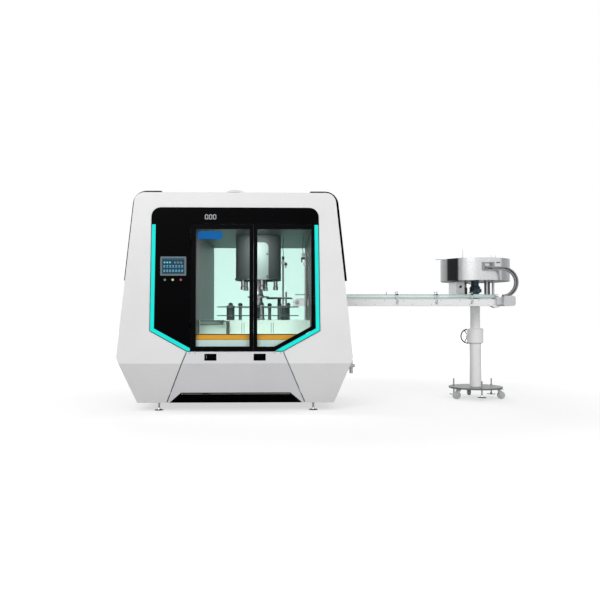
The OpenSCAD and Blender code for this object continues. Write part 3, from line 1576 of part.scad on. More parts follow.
// Casters: a swivelling fork with its axle and brake lever, and a wheel
fork_gap = 2;
fork_t = 3;
fork_plate_t = 8;
fork_w = 34;
axle_bolt_r = 5;
lever_len = 40;
lever_w = 20;
lever_t = 5;
module at_caster(i) {
    stand_here() translate([bowl_x + caster_at(i).x, feeder_y + caster_at(i).y, 0])
        rotate([0, 0, trail_angles[i]]) children();
}
module caster_fork(i) {
    half = wheel_w / 2 + fork_gap;
    top = foot_plate_z - gap;
    at_caster(i) color("silver") {
        translate([0, 0, top - fork_plate_t]) cylinder(r = wheel_w, h = fork_plate_t);
        translate([0, 0, top - fork_plate_t]) cylinder(r = swivel_pin_r, h = fork_plate_t + gap + swivel_pin_h - 2 * gap);
        for (side = [-1, 1]) {
            upright(min(side * half, side * (half + fork_t)), max(side * half, side * (half + fork_t))) polygon([
                [-fork_w / 2, top], [-fork_w / 2, top - fork_plate_t],
                [caster_trail - axle_bolt_r * 2, wheel_d / 2 - axle_bolt_r * 2],
                [caster_trail + axle_bolt_r * 2, wheel_d / 2 - axle_bolt_r * 2],
                [caster_trail + axle_bolt_r * 2, wheel_d / 2 + axle_bolt_r * 2], [fork_w / 2, top]
            ]);
        }
        block([-fork_w / 2, -half, top - fork_t], [fork_w / 2, half, top]);
        bar_y(caster_trail, wheel_d / 2, axle_bolt_r, -half - fork_t, half + fork_t);
        block([fork_w / 2 + lever_t, -lever_w / 2, top - fork_plate_t - lever_t],
            [fork_w / 2 + lever_len, lever_w / 2, top - fork_plate_t]);
        block([0, -lever_w / 2, top - fork_plate_t - lever_t], [fork_w / 2 + lever_t, lever_w / 2, top - fork_t]);
    }
}
module caster_wheel(i) {
    at_caster(i) color("darkgray") difference() {
        bar_y(caster_trail, wheel_d / 2, wheel_d / 2, -wheel_w / 2, wheel_w / 2);
        bar_y(caster_trail, wheel_d / 2, axle_bolt_r + run_fit, -wheel_w, wheel_w);
    }
}
module caster_fork_1() {
    caster_fork(0);
}
module caster_fork_2() {
    caster_fork(1);
}
module caster_fork_3() {
    caster_fork(2);
}
module caster_wheel_1() {
    caster_wheel(0);
}
module caster_wheel_2() {
    caster_wheel(1);
}
module caster_wheel_3() {
    caster_wheel(2);
}

base_frame();
levelling_feet();
front_surround();
left_side_panel();
right_side_panel();
roof_panel();
rear_surround();
rear_window();
side_trims();
black_fascia();
light_strips();
hmi_panel();
cabin_liner();
work_table();
orange_bar();
air_regulator();
vent_grille();
cam_drum();
drum_cover();
bottle_guides();
guide_posts();
stand_base();
green_button();
yellow_button();
red_button();
left_door();
left_door_glass();
right_door();
right_door_glass();
lower_front_flap();
flush_pulls();
turret_column();
main_star();
capping_head_1();
capping_head_2();
capping_head_3();
capping_head_4();
capping_head_5();
infeed_star();
outfeed_star();
cap_star();
conveyor_frame();
conveyor_belt();
drive_roller();
idler_roller();
guide_rails();
conveyor_gearmotor();
feeder_bowl();
sorting_disc();
bowl_motor();
bowl_supports();
cap_chute();
upper_tube();
handwheel();
caster_fork_1();
caster_fork_2();
caster_fork_3();
caster_wheel_1();
caster_wheel_2();
caster_wheel_3();
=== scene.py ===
import bpy
import bmesh
import math
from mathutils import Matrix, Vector


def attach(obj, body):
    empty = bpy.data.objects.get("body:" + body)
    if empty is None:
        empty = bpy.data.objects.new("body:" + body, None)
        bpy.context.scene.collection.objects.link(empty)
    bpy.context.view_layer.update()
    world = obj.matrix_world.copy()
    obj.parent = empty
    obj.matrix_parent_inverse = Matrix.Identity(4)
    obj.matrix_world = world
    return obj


# Looks of the rotary capping machine: materials for its CAD pieces, then the small pieces that
# are seen on them, then stage, light and camera. Sizes in pieces are millimetres.
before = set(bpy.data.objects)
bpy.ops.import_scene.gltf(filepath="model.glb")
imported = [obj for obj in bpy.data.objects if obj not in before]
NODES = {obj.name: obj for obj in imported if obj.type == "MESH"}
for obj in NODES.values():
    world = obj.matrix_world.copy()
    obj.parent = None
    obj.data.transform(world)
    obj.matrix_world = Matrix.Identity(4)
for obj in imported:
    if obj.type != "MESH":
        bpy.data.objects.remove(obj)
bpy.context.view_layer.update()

# The part's source measures in millimetres, with X and Y from the middle of the cabinet.
# These are the middle of the whole footprint there, which is the shared frame's origin.
SHIFT_X, SHIFT_Y = 990.114, -8.5
# Depths of the cabinet's front face and of the fascia's face
FRONT, FASCIA = -970.0, -976.0
# Middle of the turret
TURRET = (208.0, -245.0)
# Middle of the belt's width, and of the bowl
BELT_Y, FEEDER_Y, BOWL_X = -142.844, 278.156, 2759.0
# Height of the rollers' axes
AXIS_Z = 1121.5


def at(x, y, z):
    """A point in the source's millimetres as one in the shared frame, in metres."""
    return Vector(((x - SHIFT_X) / 1000, (y - SHIFT_Y) / 1000, z / 1000))


# ---------------------------------------------------------------- materials
def rgb(r, g, b):
    """A colour as it looks on a screen, 0 to 255, as linear values."""
    out = []
    for v in (r, g, b):
        v /= 255
        out.append(v / 12.92 if v <= 0.04045 else ((v + 0.055) / 1.055) ** 2.4)
    return (*out, 1)


def darker(c, k):
    """A colour k times as light."""
    return (c[0] * k, c[1] * k, c[2] * k, 1)


def dusty(c, k, lift):
    """A colour made k times lighter and then lifted a little."""
    return (*(v * k + d for v, d in zip(c, lift)), 1)


class Maker:
    """A material with its node tree and short calls for the nodes it needs."""

    def __init__(self, name):
        self.m = bpy.data.materials.new(name)
        self.m.use_nodes = True
        self.t = self.m.node_tree
        self.b = self.t.nodes["Principled BSDF"]
        self.pos = self.node("ShaderNodeTexCoord").outputs["Object"]

    def node(self, kind, **kw):
        """A new node, with its inputs or settings by name."""
        n = self.t.nodes.new(kind)
        for k, v in kw.items():
            if k in n.inputs:
                n.inputs[k].default_value = v
            else:
                setattr(n, k, v)
        return n

    def link(self, a, b):
        """Joins an output to an input."""
        self.t.links.new(a, b)

    def stretched(self, scale):
        """The object's own coordinates, scaled along each axis."""
        n = self.node("ShaderNodeMapping", Scale=scale)
        self.link(self.pos, n.inputs["Vector"])
        return n.outputs[0]

    def noise(self, scale, detail=3.0, rough=0.5, vector=None):
        """Noise over the object."""
        n = self.node("ShaderNodeTexNoise", Scale=scale, Detail=detail, Roughness=rough)
        self.link(vector or self.pos, n.inputs["Vector"])
        return n.outputs["Fac"]

    def between(self, fac, low, high, at0=0.3, at1=0.7):
        """A value from at0 to at1 as one from low to high."""
        n = self.node("ShaderNodeMapRange")
        n.inputs["From Min"].default_value = at0
        n.inputs["From Max"].default_value = at1
        n.inputs["To Min"].default_value = low
        n.inputs["To Max"].default_value = high
        self.link(fac, n.inputs["Value"])
        return n.outputs[0]

    def blend(self, fac, a, b):
        """A mix of two colours, each fixed or from an output."""
        n = self.node("ShaderNodeMix", data_type="RGBA")
        if isinstance(fac, float):
            n.inputs[0].default_value = fac
        else:
            self.link(fac, n.inputs[0])
        for v, s in ((a, n.inputs[6]), (b, n.inputs[7])):
            if isinstance(v, tuple):
                s.default_value = v
            else:
                self.link(v, s)
        return n.outputs[2]

    def colour(self, v):
        """The base colour, fixed or from an output."""
        if isinstance(v, tuple):
            self.b.inputs["Base Color"].default_value = v
        else:
            self.link(v, self.b.inputs["Base Color"])

    def rough(self, v):
        """The roughness, fixed or from an output."""
        if isinstance(v, float):
            self.b.inputs["Roughness"].default_value = v
        else:
            self.link(v, self.b.inputs["Roughness"])

    def bump(self, height, strength, distance=0.001):
        """Fine relief from a height."""
        n = self.node("ShaderNodeBump", Strength=strength, Distance=distance)
        self.link(height, n.inputs["Height"])
        self.link(n.outputs[0], self.b.inputs["Normal"])

    def set(self, **kw):
        """Fixed values for the shader's inputs."""
        for k, v in kw.items():
            self.b.inputs[k.replace("_", " ")].default_value = v
        return self


def painted(name, c, rough=0.38, grime=0.06, coat=0.25):
    """Powder coat: fine orange peel, faint clouding and dust in random patches."""
    m = Maker(name)
    cloud = m.noise(2.2, 4)
    fine = m.noise(55, 5)
    c1 = m.blend(m.between(cloud, 0, 1), c, darker(c, 1 - grime))
    m.colour(m.blend(m.between(fine, 0, 0.35), c1, darker(c, 1 - grime * 1.4)))
    m.rough(m.between(fine, rough - 0.05, rough + 0.08))
    m.bump(m.noise(900, 2), 0.10, 0.0004)
    m.set(Coat_Weight=coat, Coat_Roughness=0.2)
    return m.m


def plastic(name, c, rough=0.25, smudge=0.12, bump=0.04, scale=700, spec=0.5):
    """Moulded or lacquered surface: fine grain, and smudges where hands wipe it."""
    m = Maker(name)
    wipe = m.noise(3.5, 6, 0.6, m.stretched((1, 1, 0.35)))
    grain = m.noise(scale, 2)
    m.colour(m.blend(m.between(wipe, 0, 1), c, dusty(c, 1.25, (0.0004, 0.0004, 0.0005))))
    m.rough(m.between(wipe, rough, rough + smudge))
    m.bump(grain, bump, 0.0004)
    m.set(Specular_IOR_Level=spec)
    return m.m


def steel(name, c, rough=0.3, along=(1, 40, 40), strength=0.12, metal=1.0):
    """Brushed steel: hair lines along one axis, with cloudy stains."""
    m = Maker(name)
    hair = m.noise(22, 6, 0.65, m.stretched(along))
    stain = m.noise(5, 4)
    a = m.blend(m.between(hair, 0, 1), c, darker(c, 0.82))
    m.colour(m.blend(m.between(stain, 0, 0.5), a, darker(c, 0.9)))
    m.rough(m.between(hair, rough - 0.06, rough + 0.12))
    m.bump(hair, strength, 0.0006)
    m.set(Metallic=metal)
    return m.m


def polished(name, c, rough=0.12, metal=1.0):
    """Bright metal with faint marks."""
    m = Maker(name)
    mark = m.noise(14, 6, 0.6)
    m.colour(m.blend(m.between(mark, 0, 1), c, darker(c, 0.9)))
    m.rough(m.between(mark, rough, rough + 0.1))
    m.bump(m.noise(420, 2), 0.03, 0.0003)
    m.set(Metallic=metal)
    return m.m


def rubber(name, c, rough=0.75):
    """Dull rubber with dust in patches."""
    m = Maker(name)
    dust = m.noise(18, 5)
    m.colour(m.blend(m.between(dust, 0, 1), c, dusty(c, 1.3, (0.004, 0.004, 0.004))))
    m.rough(m.between(dust, rough - 0.1, rough + 0.1))
    m.bump(m.noise(500, 3), 0.2, 0.0006)
    return m.m


def bowl_sheet_painted_reflections(name, light, grey, dark, rough=0.24):
    """Bright bent sheet with painted reflections: light, grey and dark upright bands painted into
    its colour round the bowl's axis, standing in for what it would mirror.
    """
    m = Maker(name)
    sep = m.node("ShaderNodeSeparateXYZ")
    m.link(m.pos, sep.inputs[0])
    dx = m.node("ShaderNodeMath", operation="SUBTRACT")
    dy = m.node("ShaderNodeMath", operation="SUBTRACT")
    centre = at(BOWL_X, FEEDER_Y, 0)
    dx.inputs[1].default_value, dy.inputs[1].default_value = centre.x, centre.y
    m.link(sep.outputs[0], dx.inputs[0])
    m.link(sep.outputs[1], dy.inputs[0])
    turn = m.node("ShaderNodeMath", operation="ARCTAN2")
    m.link(dy.outputs[0], turn.inputs[0])
    m.link(dx.outputs[0], turn.inputs[1])
    ramp = m.node("ShaderNodeValToRGB")
    m.link(m.between(turn.outputs[0], 0, 1, -math.pi, math.pi), ramp.inputs[0])
    # Where round the axis the painted reflection bands lie, light, grey and dark
    painted_reflection_stops = [(0, grey), (0.062, grey), (0.068, dark), (0.128, dark), (0.135, light),
             (0.330, light), (0.345, grey), (0.60, grey), (0.61, dark), (0.67, dark),
             (0.68, light), (0.88, light), (0.90, grey)]
    bands = ramp.color_ramp.elements
    for band, (where, c) in ((bands[0], painted_reflection_stops[0]), (bands[1], painted_reflection_stops[-1])):
        band.color, band.position = c, where
    for where, c in painted_reflection_stops[1:-1]:
        bands.new(where).color = c
    hair = m.noise(22, 6, 0.65, m.stretched((40, 40, 1)))
    dim = m.node("ShaderNodeMix", data_type="RGBA", blend_type="MULTIPLY")
    m.link(m.between(hair, 0, 0.3), dim.inputs[0])
    m.link(ramp.outputs[0], dim.inputs[6])
    dim.inputs[7].default_value = (0.7, 0.7, 0.7, 1)
    m.colour(dim.outputs[2])
    m.rough(m.between(hair, rough - 0.05, rough + 0.12))
    m.bump(hair, 0.06, 0.0006)
    m.set(Metallic=0.85)
    return m.m


def tinted_glass(name, c, alpha, rough=0.03, glow=0.0, spec=0.5):
    """Clear sheet with a faint film. Its glow stands in for daylight behind it."""
    m = Maker(name)
    film = m.noise(2.5, 5, 0.6)
    m.colour(m.blend(m.between(film, 0, 0.6), c, darker(c, 0.93)))
    m.rough(m.between(film, rough, rough + 0.05))
    m.bump(m.noise(1.2, 1), 0.015, 0.004)
    m.set(Alpha=alpha, IOR=1.45, Emission_Color=c, Emission_Strength=glow,
          Specular_IOR_Level=spec)
    return m.m


def glowing(name, c, strength=1.0):
    """A lit surface whose light is a little uneven."""
    m = Maker(name)
    soft = m.noise(6, 3)
    m.colour(darker(c, 0.08))
    n = m.blend(m.between(soft, 0, 1), c, darker(c, 0.93))
    m.link(n, m.b.inputs["Emission Color"])
    m.set(Emission_Strength=strength)
    m.rough(m.between(soft, 0.3, 0.45))
    m.set(Specular_IOR_Level=0.1)
    m.bump(m.noise(300, 2), 0.03, 0.0004)
    return m.m


WHITE = painted("white paint", rgb(236, 236, 237))
# Painted shade: the lower flap gets the cabinet's white made a little darker
FLAP_PAINTED_SHADE = painted("flap white with painted shade", rgb(226, 226, 229))
GREY = painted("frame paint", rgb(150, 154, 156), 0.45)
LINER = painted("liner paint", rgb(48, 38, 40), 0.5, 0.10, 0.05)
TABLE = painted("table paint", rgb(226, 255, 248), 0.36, 0.03)
ORANGE = painted("orange paint", rgb(255, 180, 0), 0.45, 0.03, 0.0)
COLUMN = painted("column paint", rgb(244, 244, 245), 0.35)
BLACK = plastic("black gloss", rgb(1, 1, 2), 0.36, 0.10, 0.03, spec=0.03)
BLACK_FRAME = plastic("black door frame", rgb(2, 2, 3), 0.40, 0.12, 0.03, spec=0.04)
DARK = plastic("dark plastic", rgb(32, 33, 36), 0.42, 0.15, 0.15, 350)
SLATE = plastic("slate plastic", rgb(88, 101, 107), 0.38, 0.12, 0.12)
GUIDE = plastic("guide plastic", rgb(186, 202, 198), 0.34, 0.12)
EDGE = plastic("plate edges", rgb(72, 82, 80), 0.4, 0.12)
STAR = plastic("star plastic", rgb(168, 184, 180), 0.30, 0.12)
STEEL = steel("brushed steel", rgb(200, 202, 204), 0.30)
STEEL_UP = steel("brushed steel upright", rgb(200, 202, 204), 0.28, (40, 40, 1))
DRUM = steel("drum steel", rgb(70, 76, 75), 0.5, (40, 40, 1), 0.1, 0.4)
COVER = steel("cover steel", rgb(154, 174, 170), 0.4, (40, 40, 1), 0.08, 0.6)
CHROME = polished("chrome", rgb(214, 216, 218))
# The bowl's upright light, grey and dark bands are painted reflections, not the sheet's own colour
BOWL = bowl_sheet_painted_reflections("bowl steel", rgb(226, 227, 228), rgb(160, 162, 164), rgb(54, 56, 59))
RAIL = steel("conveyor sheet", rgb(246, 247, 248), 0.4, (1, 40, 40), 0.06, 0.35)
CHUTE = steel("chute steel", rgb(158, 160, 163), 0.28, (8, 8, 8), 0.1, 0.9)
DISC = steel("disc steel", rgb(186, 188, 190), 0.24, (30, 30, 1), 0.06)
BASE = painted("base plate paint", rgb(112, 114, 116), 0.45)
ALU = steel("cast aluminium", rgb(214, 216, 218), 0.42, (8, 8, 8), 0.25, 0.6)
MOTOR = painted("motor paint", rgb(66, 92, 106), 0.4, 0.1)
GLASS = tinted_glass("door glass", (0.05, 0.13, 0.11, 1), 0.06, spec=0.3)
BACK_GLASS = tinted_glass("rear glass", (0.60, 0.99, 0.88, 1), 0.42, 0.03, 0.70)
CYAN = glowing("light strip", rgb(28, 230, 220))
LIT_GREEN = glowing("lit green", rgb(96, 150, 128), 0.8)
LIT_YELLOW = glowing("lit yellow", rgb(206, 214, 150), 0.9)
LIT_RED = glowing("lit red", rgb(172, 88, 100), 0.8)
WHEEL = rubber("wheel rubber", rgb(176, 178, 180))
BLACK_RUBBER = rubber("black rubber", rgb(38, 38, 40))


def belt_material():
    """Chain links across the belt, with a groove between each and the next."""
    m = Maker("belt plastic")
    pitch, groove_w = 0.038, 0.003
    # Added to X, so that the remainder is taken of a number above zero
    above_zero = 10.0
    sep = m.node("ShaderNodeSeparateXYZ")
    m.link(m.pos, sep.inputs[0])
    wave = m.node("ShaderNodeMath", operation="MODULO")
    add = m.node("ShaderNodeMath", operation="ADD")
    add.inputs[1].default_value = above_zero
    m.link(sep.outputs[0], add.inputs[0])
    m.link(add.outputs[0], wave.inputs[0])
    wave.inputs[1].default_value = pitch
    groove = m.between(wave.outputs[0], 0, 1, 0.0, groove_w)
    c = rgb(128, 143, 138)
    worn = m.blend(m.between(m.noise(20, 4), 0, 1), c, darker(c, 0.85))
    m.colour(m.blend(groove, darker(c, 0.35), worn))
    m.rough(0.45)
    m.bump(groove, 0.6, 0.001)
    return m.m


BELT = belt_material()
LOOKS = {
    # Cabinet
    "base_frame": GREY, "levelling_feet": CHROME, "front_surround": WHITE,
    "left_side_panel": WHITE, "right_side_panel": WHITE, "roof_panel": WHITE,
    "rear_surround": WHITE, "rear_window": BACK_GLASS, "side_trims": BLACK,
    "black_fascia": BLACK, "light_strips": CYAN, "vent_grille": BLACK, "air_regulator": ALU,
    "hmi_panel": SLATE, "green_button": LIT_GREEN, "yellow_button": LIT_YELLOW,
    "red_button": LIT_RED, "left_door": BLACK_FRAME, "left_door_glass": GLASS,
    "right_door": BLACK_FRAME, "right_door_glass": GLASS, "lower_front_flap": FLAP_PAINTED_SHADE,
    "flush_pulls": BLACK,
    # Cabin
    "cabin_liner": LINER, "work_table": TABLE, "orange_bar": ORANGE, "cam_drum": DRUM,
    "drum_cover": COVER, "bottle_guides": GUIDE, "guide_posts": STEEL_UP,
    "turret_column": STEEL_UP, "main_star": STAR, "infeed_star": STAR, "outfeed_star": STAR,
    "cap_star": DARK,
    # Conveyor and feeder
    "conveyor_frame": RAIL, "conveyor_belt": BELT, "drive_roller": STEEL,
    "idler_roller": STEEL, "guide_rails": CHROME, "conveyor_gearmotor": ALU,
    "feeder_bowl": BOWL, "sorting_disc": DISC, "bowl_motor": MOTOR, "bowl_supports": STEEL,
    "cap_chute": CHUTE, "upper_tube": COLUMN, "handwheel": DARK, "stand_base": COLUMN,
}
for i in range(1, 6):
    LOOKS[f"capping_head_{i}"] = CHROME
for i in range(1, 4):
    LOOKS[f"caster_fork_{i}"] = ALU
    LOOKS[f"caster_wheel_{i}"] = WHEEL
for name, look in LOOKS.items():
    mesh = NODES[name].data
    mesh.materials.clear()
    mesh.materials.append(look)


def part_look(node, look, test):
    """Gives the faces of a node whose middle passes the test a second material."""
    mesh = NODES[node].data
    mesh.materials.append(look)
    k = len(mesh.materials) - 1
    for p in mesh.polygons:
        c = p.center
        if test(c.x * 1000 + SHIFT_X, c.y * 1000 + SHIFT_Y, c.z * 1000):
            p.material_index = k


def edge_look(node, look):
    """Gives the upright edges of a flat plate a second material."""
    mesh = NODES[node].data
    mesh.materials.append(look)
    for p in mesh.polygons:
        if abs(p.normal.z) < 0.5:
            p.material_index = len(mesh.materials) - 1


for name in ("bottle_guides", "main_star", "infeed_star", "outfeed_star"):
    edge_look(name, EDGE)
# The knobs on the guide posts
part_look("guide_posts", DARK,
          lambda x, y, z: 1077 < z < 1106 and y > -600 and not 470 < x < 530)
# The soles of the cabinet's feet, and of the stand's, which are screwed up off the floor
part_look("levelling_feet", BLACK_RUBBER,
          lambda x, y, z: z < 5 or (x > 2300 and 29 < z < 36))
# The small box beside the larger one under the bowl
part_look("bowl_supports", DARK,
          lambda x, y, z: (BOWL_X - 171 < x < BOWL_X - 125 and 1199 < z < 1299
                           and abs(y - FEEDER_Y + 75) < 61))
# The round base plate outside the column
part_look("stand_base", BASE,
          lambda x, y, z: 100 < z < 137 and math.hypot(x - BOWL_X, y - FEEDER_Y) > 70)
# The part of the frame that is seen through the vent, painted black as shade so that the opening
# behind the slats looks dark
part_look("base_frame", BLACK, lambda x, y, z: y < -560 and z < 240)
# The rim of the roof vent's cap
part_look("roof_panel", DARK,
          lambda x, y, z: 2255 < z < 2277 and math.hypot(x + 37, y + 420) > 120)


# ---------------------------------------------------------------- building pieces
class Piece:
    """A mesh built in machine millimetres, riding on a CAD body."""

    def __init__(self, name, body, look, slot=None):
        self.name, self.body, self.look, self.slot = name, body, look, slot
        self.bm = bmesh.new()

    def box(self, a, b):
        """A box between two opposite corners."""
        lo, hi = at(*a), at(*b)
        out = bmesh.ops.create_cube(self.bm, size=1)["verts"]
        for v in out:
            v.co = Vector([(lo[i] + hi[i]) / 2 + v.co[i] * (hi[i] - lo[i]) for i in range(3)])
        return self

    def lathe(self, centre, axis, profile, seg=32):
        """Spins (radius, height) points round an axis through centre."""
        c = at(*centre)
        z = Vector(axis).normalized()
        x = z.orthogonal().normalized()
        y = z.cross(x)
        rings = []
        for r, h in profile:
            r, h = r / 1000, h / 1000
            if r < 1e-7:
                rings.append([self.bm.verts.new(c + z * h)])
                continue
            ring = []
            for k in range(seg):
                a = 2 * math.pi * k / seg
                outward = x * r * math.cos(a) + y * r * math.sin(a)
                ring.append(self.bm.verts.new(c + z * h + outward))
            rings.append(ring)
        for p, q in zip(rings, rings[1:]):
            for k in range(seg):
                j = (k + 1) % seg
                if len(p) == 1 and len(q) > 1:
                    self.bm.faces.new((p[0], q[k], q[j]))
                elif len(q) == 1 and len(p) > 1:
                    self.bm.faces.new((p[k], p[j], q[0]))
                elif len(p) > 1:
                    self.bm.faces.new((p[k], p[j], q[j], q[k]))
        return self

    def rod(self, a, b, r, seg=20, soft=0.6):
        """A round bar from a to b with softened ends."""
        va, vb = Vector(a), Vector(b)
        n = (vb - va).length
        e = min(soft, r * 0.4)
        profile = [(0, 0), (r - e, 0), (r, e), (r, n - e), (r - e, n), (0, n)]
        return self.lathe(a, (vb - va), profile, seg)

    def bolt(self, where, axis, r=5, h=4):
        """A hexagon bolt on a washer."""
        self.lathe(where, axis, [(0, 0), (r * 1.5, 0), (r * 1.5, h * 0.2), (0, h * 0.2)], 20)
        head = [(r * 0.96, h * 0.2), (r, h * 0.3), (r, h * 0.9), (r * 0.85, h), (0, h)]
        return self.lathe(where, axis, head, 6)

    def screw(self, where, axis, r=4, h=1.6):
        """A low button screw with a socket."""
        head = [(0, 0), (r, 0), (r * 0.92, h * 0.7), (r * 0.7, h), (r * 0.42, h),
                (r * 0.38, h * 0.3), (0, h * 0.3)]
        return self.lathe(where, axis, head, 16)

    def tube(self, points, r, seg=12):
        """A round tube of radius r through the points."""
        pts = [at(*p) for p in points]
        last = len(pts) - 1
        dirs = [(pts[min(i + 1, last)] - pts[max(i - 1, 0)]).normalized()
                for i in range(len(pts))]
        turns = [2 * math.pi * k / seg for k in range(seg)]
        up = dirs[0].orthogonal().normalized()
        rings = []
        for p, d in zip(pts, dirs):
            up = (up - d * up.dot(d)).normalized()
            side = d.cross(up)
            rings.append([self.bm.verts.new(p + (up * math.cos(a) + side * math.sin(a)) * r / 1000)
                          for a in turns])
        for p, q in zip(rings, rings[1:]):
            for k in range(seg):
                self.bm.faces.new((p[k], p[(k + 1) % seg], q[(k + 1) % seg], q[k]))
        self.bm.faces.new(rings[0])
        self.bm.faces.new(rings[-1])
        return self

    def plate(self, outline, y0, y1):
        """An outline in X and Z between two depths."""
        front = [self.bm.verts.new(at(x, y0, z)) for x, z in outline]
        back = [self.bm.verts.new(at(x, y1, z)) for x, z in outline]
        self.bm.faces.new(front)
        self.bm.faces.new(back)
        for i in range(len(front)):
            j = (i + 1) % len(front)
            self.bm.faces.new((front[i], front[j], back[j], back[i]))
        return self

    def done(self, bevel=0.0, angle=35):
        """Makes the object and hands it to its body."""
        bmesh.ops.recalc_face_normals(self.bm, faces=self.bm.faces)
        mesh = bpy.data.meshes.new(self.name)
        self.bm.to_mesh(mesh)
        self.bm.free()
        mesh.materials.append(self.look)
        for p in mesh.polygons:
            p.use_smooth = True
        mesh.set_sharp_from_angle(angle=math.radians(angle))
        o = bpy.data.objects.new(self.name, mesh)
        bpy.context.scene.collection.objects.link(o)
        if bevel:
            m = o.modifiers.new("soft edges", "BEVEL")
            m.width = bevel / 1000
            m.segments = 2
            m.limit_method = "ANGLE"
            m.angle_limit = math.radians(35)
        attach(o, self.body)
        return o


def soft_rect(x0, z0, w, h, r, steps=5):
    """The outline of a rectangle with round corners, from its lower left corner."""
    pts = []
    for cx, cz, a0 in ((x0 + w - r, z0 + h - r, 0), (x0 + r, z0 + h - r, 90),
                       (x0 + r, z0 + r, 180), (x0 + w - r, z0 + r, 270)):
        for k in range(steps + 1):
            a = math.radians(a0 + 90 * k / steps)
            pts.append((cx + r * math.cos(a), cz + r * math.sin(a)))
    return pts


# ---------------------------------------------------------------- control panel and header
SCREEN = glowing("screen blue", rgb(38, 66, 84), 0.9)
SCREEN_BAR = glowing("screen bar", rgb(30, 92, 122), 0.9)
SCREEN_ICON = glowing("screen icons", rgb(120, 205, 222), 0.9)
SCREEN_WHITE = glowing("screen marks", rgb(196, 214, 220), 0.9)
DISPLAY = glowing("header digits", rgb(226, 230, 232), 1.0)
BLUE = plastic("blue strip", rgb(3, 92, 158), 0.4, 0.1, spec=0.1)
PANEL_X, PANEL_Z = -744.0, 1363.0


def control_panel():
    """The screen's picture, in thin layers on the panel's glass: bars, then icons and marks."""
    y = FASCIA - 5.0
    glass, bar, mark = y - 0.8, y - 1.1, y - 1.4
    x0, z0, w, h = PANEL_X + 18, PANEL_Z + 18, 221.0, 155.0
    cells, cell_pitch, rows = range(7), 29.5, (60, 16)
    tops = range(3)

    screen = Piece("panel_screen", "cabinet", SCREEN, "slate")
    screen.plate(soft_rect(x0 + 1, z0 + 1, w - 2, h - 2, 3), glass, y).done(0.2)

    bars = Piece("panel_bars", "cabinet", SCREEN_BAR, "slate")
    bars.plate(soft_rect(x0 + 5, z0 + h - 17, w - 10, 12, 2), bar, glass)
    for row in rows:
        for c in cells:
            bars.plate(soft_rect(x0 + 9 + c * cell_pitch, z0 + row, 25, 30, 3), bar, glass)
    bars.done()

    icons = Piece("panel_icons", "cabinet", SCREEN_ICON, "slate")
    for c in tops:
        icons.lathe((x0 + 24 + c * 27, glass, z0 + 114), (0, -1, 0),
                    [(0, 0), (9, 0), (9, 0.3), (5, 0.5), (0, 0.5)], 20)
    for c in cells:
        for row in rows:
            icons.plate(soft_rect(x0 + 15 + c * cell_pitch, z0 + row + 16, 13, 8, 2), mark, bar)
    icons.done()

    marks = Piece("panel_marks", "cabinet", SCREEN_WHITE, "slate")
    for c in cells:
        for row in rows:
            marks.plate(soft_rect(x0 + 13 + c * cell_pitch, z0 + row + 6, 17, 2.4, 1), mark, bar)
    for c in tops:
        marks.plate(soft_rect(x0 + 120 + c * 30, z0 + 108, 20, 3, 1), bar, glass)
        marks.plate(soft_rect(x0 + 120 + c * 30, z0 + 118, 12, 3, 1), bar, glass)
    marks.done()


def header_digits():
    """A plain counter with three noughts of six bars each."""
    o = Piece("header_counter", "cabinet", DISPLAY, "black")
    w, h, half = 26.0, 44.0, 2.5
    depths = FASCIA - 0.6, FASCIA + 0.4
    for i in range(3):
        x, z = -300 + i * 40, 1930.0
        left, right = x + 3, x + w - 3
        for level in (z, z + h):
            o.plate([(left, level), (left + half, level - half), (right - half, level - half),
                     (right, level), (right - half, level + half), (left + half, level + half)],
                    *depths)
        for side in (x, x + w):
            for low, high in ((z + 2, z + h / 2 - 1), (z + h / 2 + 1, z + h - 2)):
                o.plate([(side, low), (side + half, low + half), (side + half, high - half),
                         (side, high), (side - half, high - half), (side - half, low + half)],
                        *depths)
    o.done()


def label_strip():
    """The blue label on the left door's glass, left plain."""
    label = Piece("label_strip", "left_door", BLUE, "glass")
    label.plate(soft_rect(-376, 1730, 244, 78, 6), FASCIA + 7.4, FASCIA + 7.95).done(0.2)


# ---------------------------------------------------------------- cabinet details
def pull_details():
    """The paddles in the flap's flush pulls, and a latch in the left one."""
    for i, x in enumerate((-245, 245)):
        paddle = Piece(f"pull_paddle_{i + 1}", "front_flap", BLACK, "dark_plastic")
        paddle.plate(soft_rect(x - 30, 532, 76, 40, 6), FRONT + 14, FRONT + 26.9).done(1.5)
    latch = Piece("pull_latch", "front_flap", CHROME, "silver")
    latch.box((-288, FRONT + 12, 536), (-284, FRONT + 27, 570)).done(0.8)


def spoke(a):
    """The level direction at an angle."""
    return math.cos(a), math.sin(a), 0


def by_turret(d, r, z):
    """The point at height z that is r from the turret's axis along d."""
    return TURRET[0] + r * d[0], TURRET[1] + r * d[1], z


def drum_details():
    """The cover's pins, a pin on the left, two rows of screws and the drum's lower ring."""
    o = Piece("drum_pins", "cabinet", DARK, "dark_plastic")
    cover_r, pin_x = 254.0, 307.0
    d = spoke(-math.acos((pin_x - TURRET[0]) / cover_r))
    for z in (1391, 1628):
        o.rod(by_turret(d, cover_r - 1, z), by_turret(d, cover_r + 12, z), 8)
    d = spoke(math.radians(195))
    o.rod(by_turret(d, 247, 1366), by_turret(d, 262, 1366), 10)
    for k in range(16):
        turn = 11.25 + 22.5 * k
        # None where the cover is
        if not 240 < turn < 300:
            d = spoke(math.radians(turn))
            for z in (1800, 1374):
                o.screw(by_turret(d, 248, z), d, 6, 3)
    o.done()
    ring = Piece("drum_lower_ring", "cabinet", STEEL, "steel")
    ring.lathe((*TURRET, 1352), (0, 0, 1), [(248.2, 0), (252, 1), (252, 11), (248.2, 12)], 96)
    ring.done()


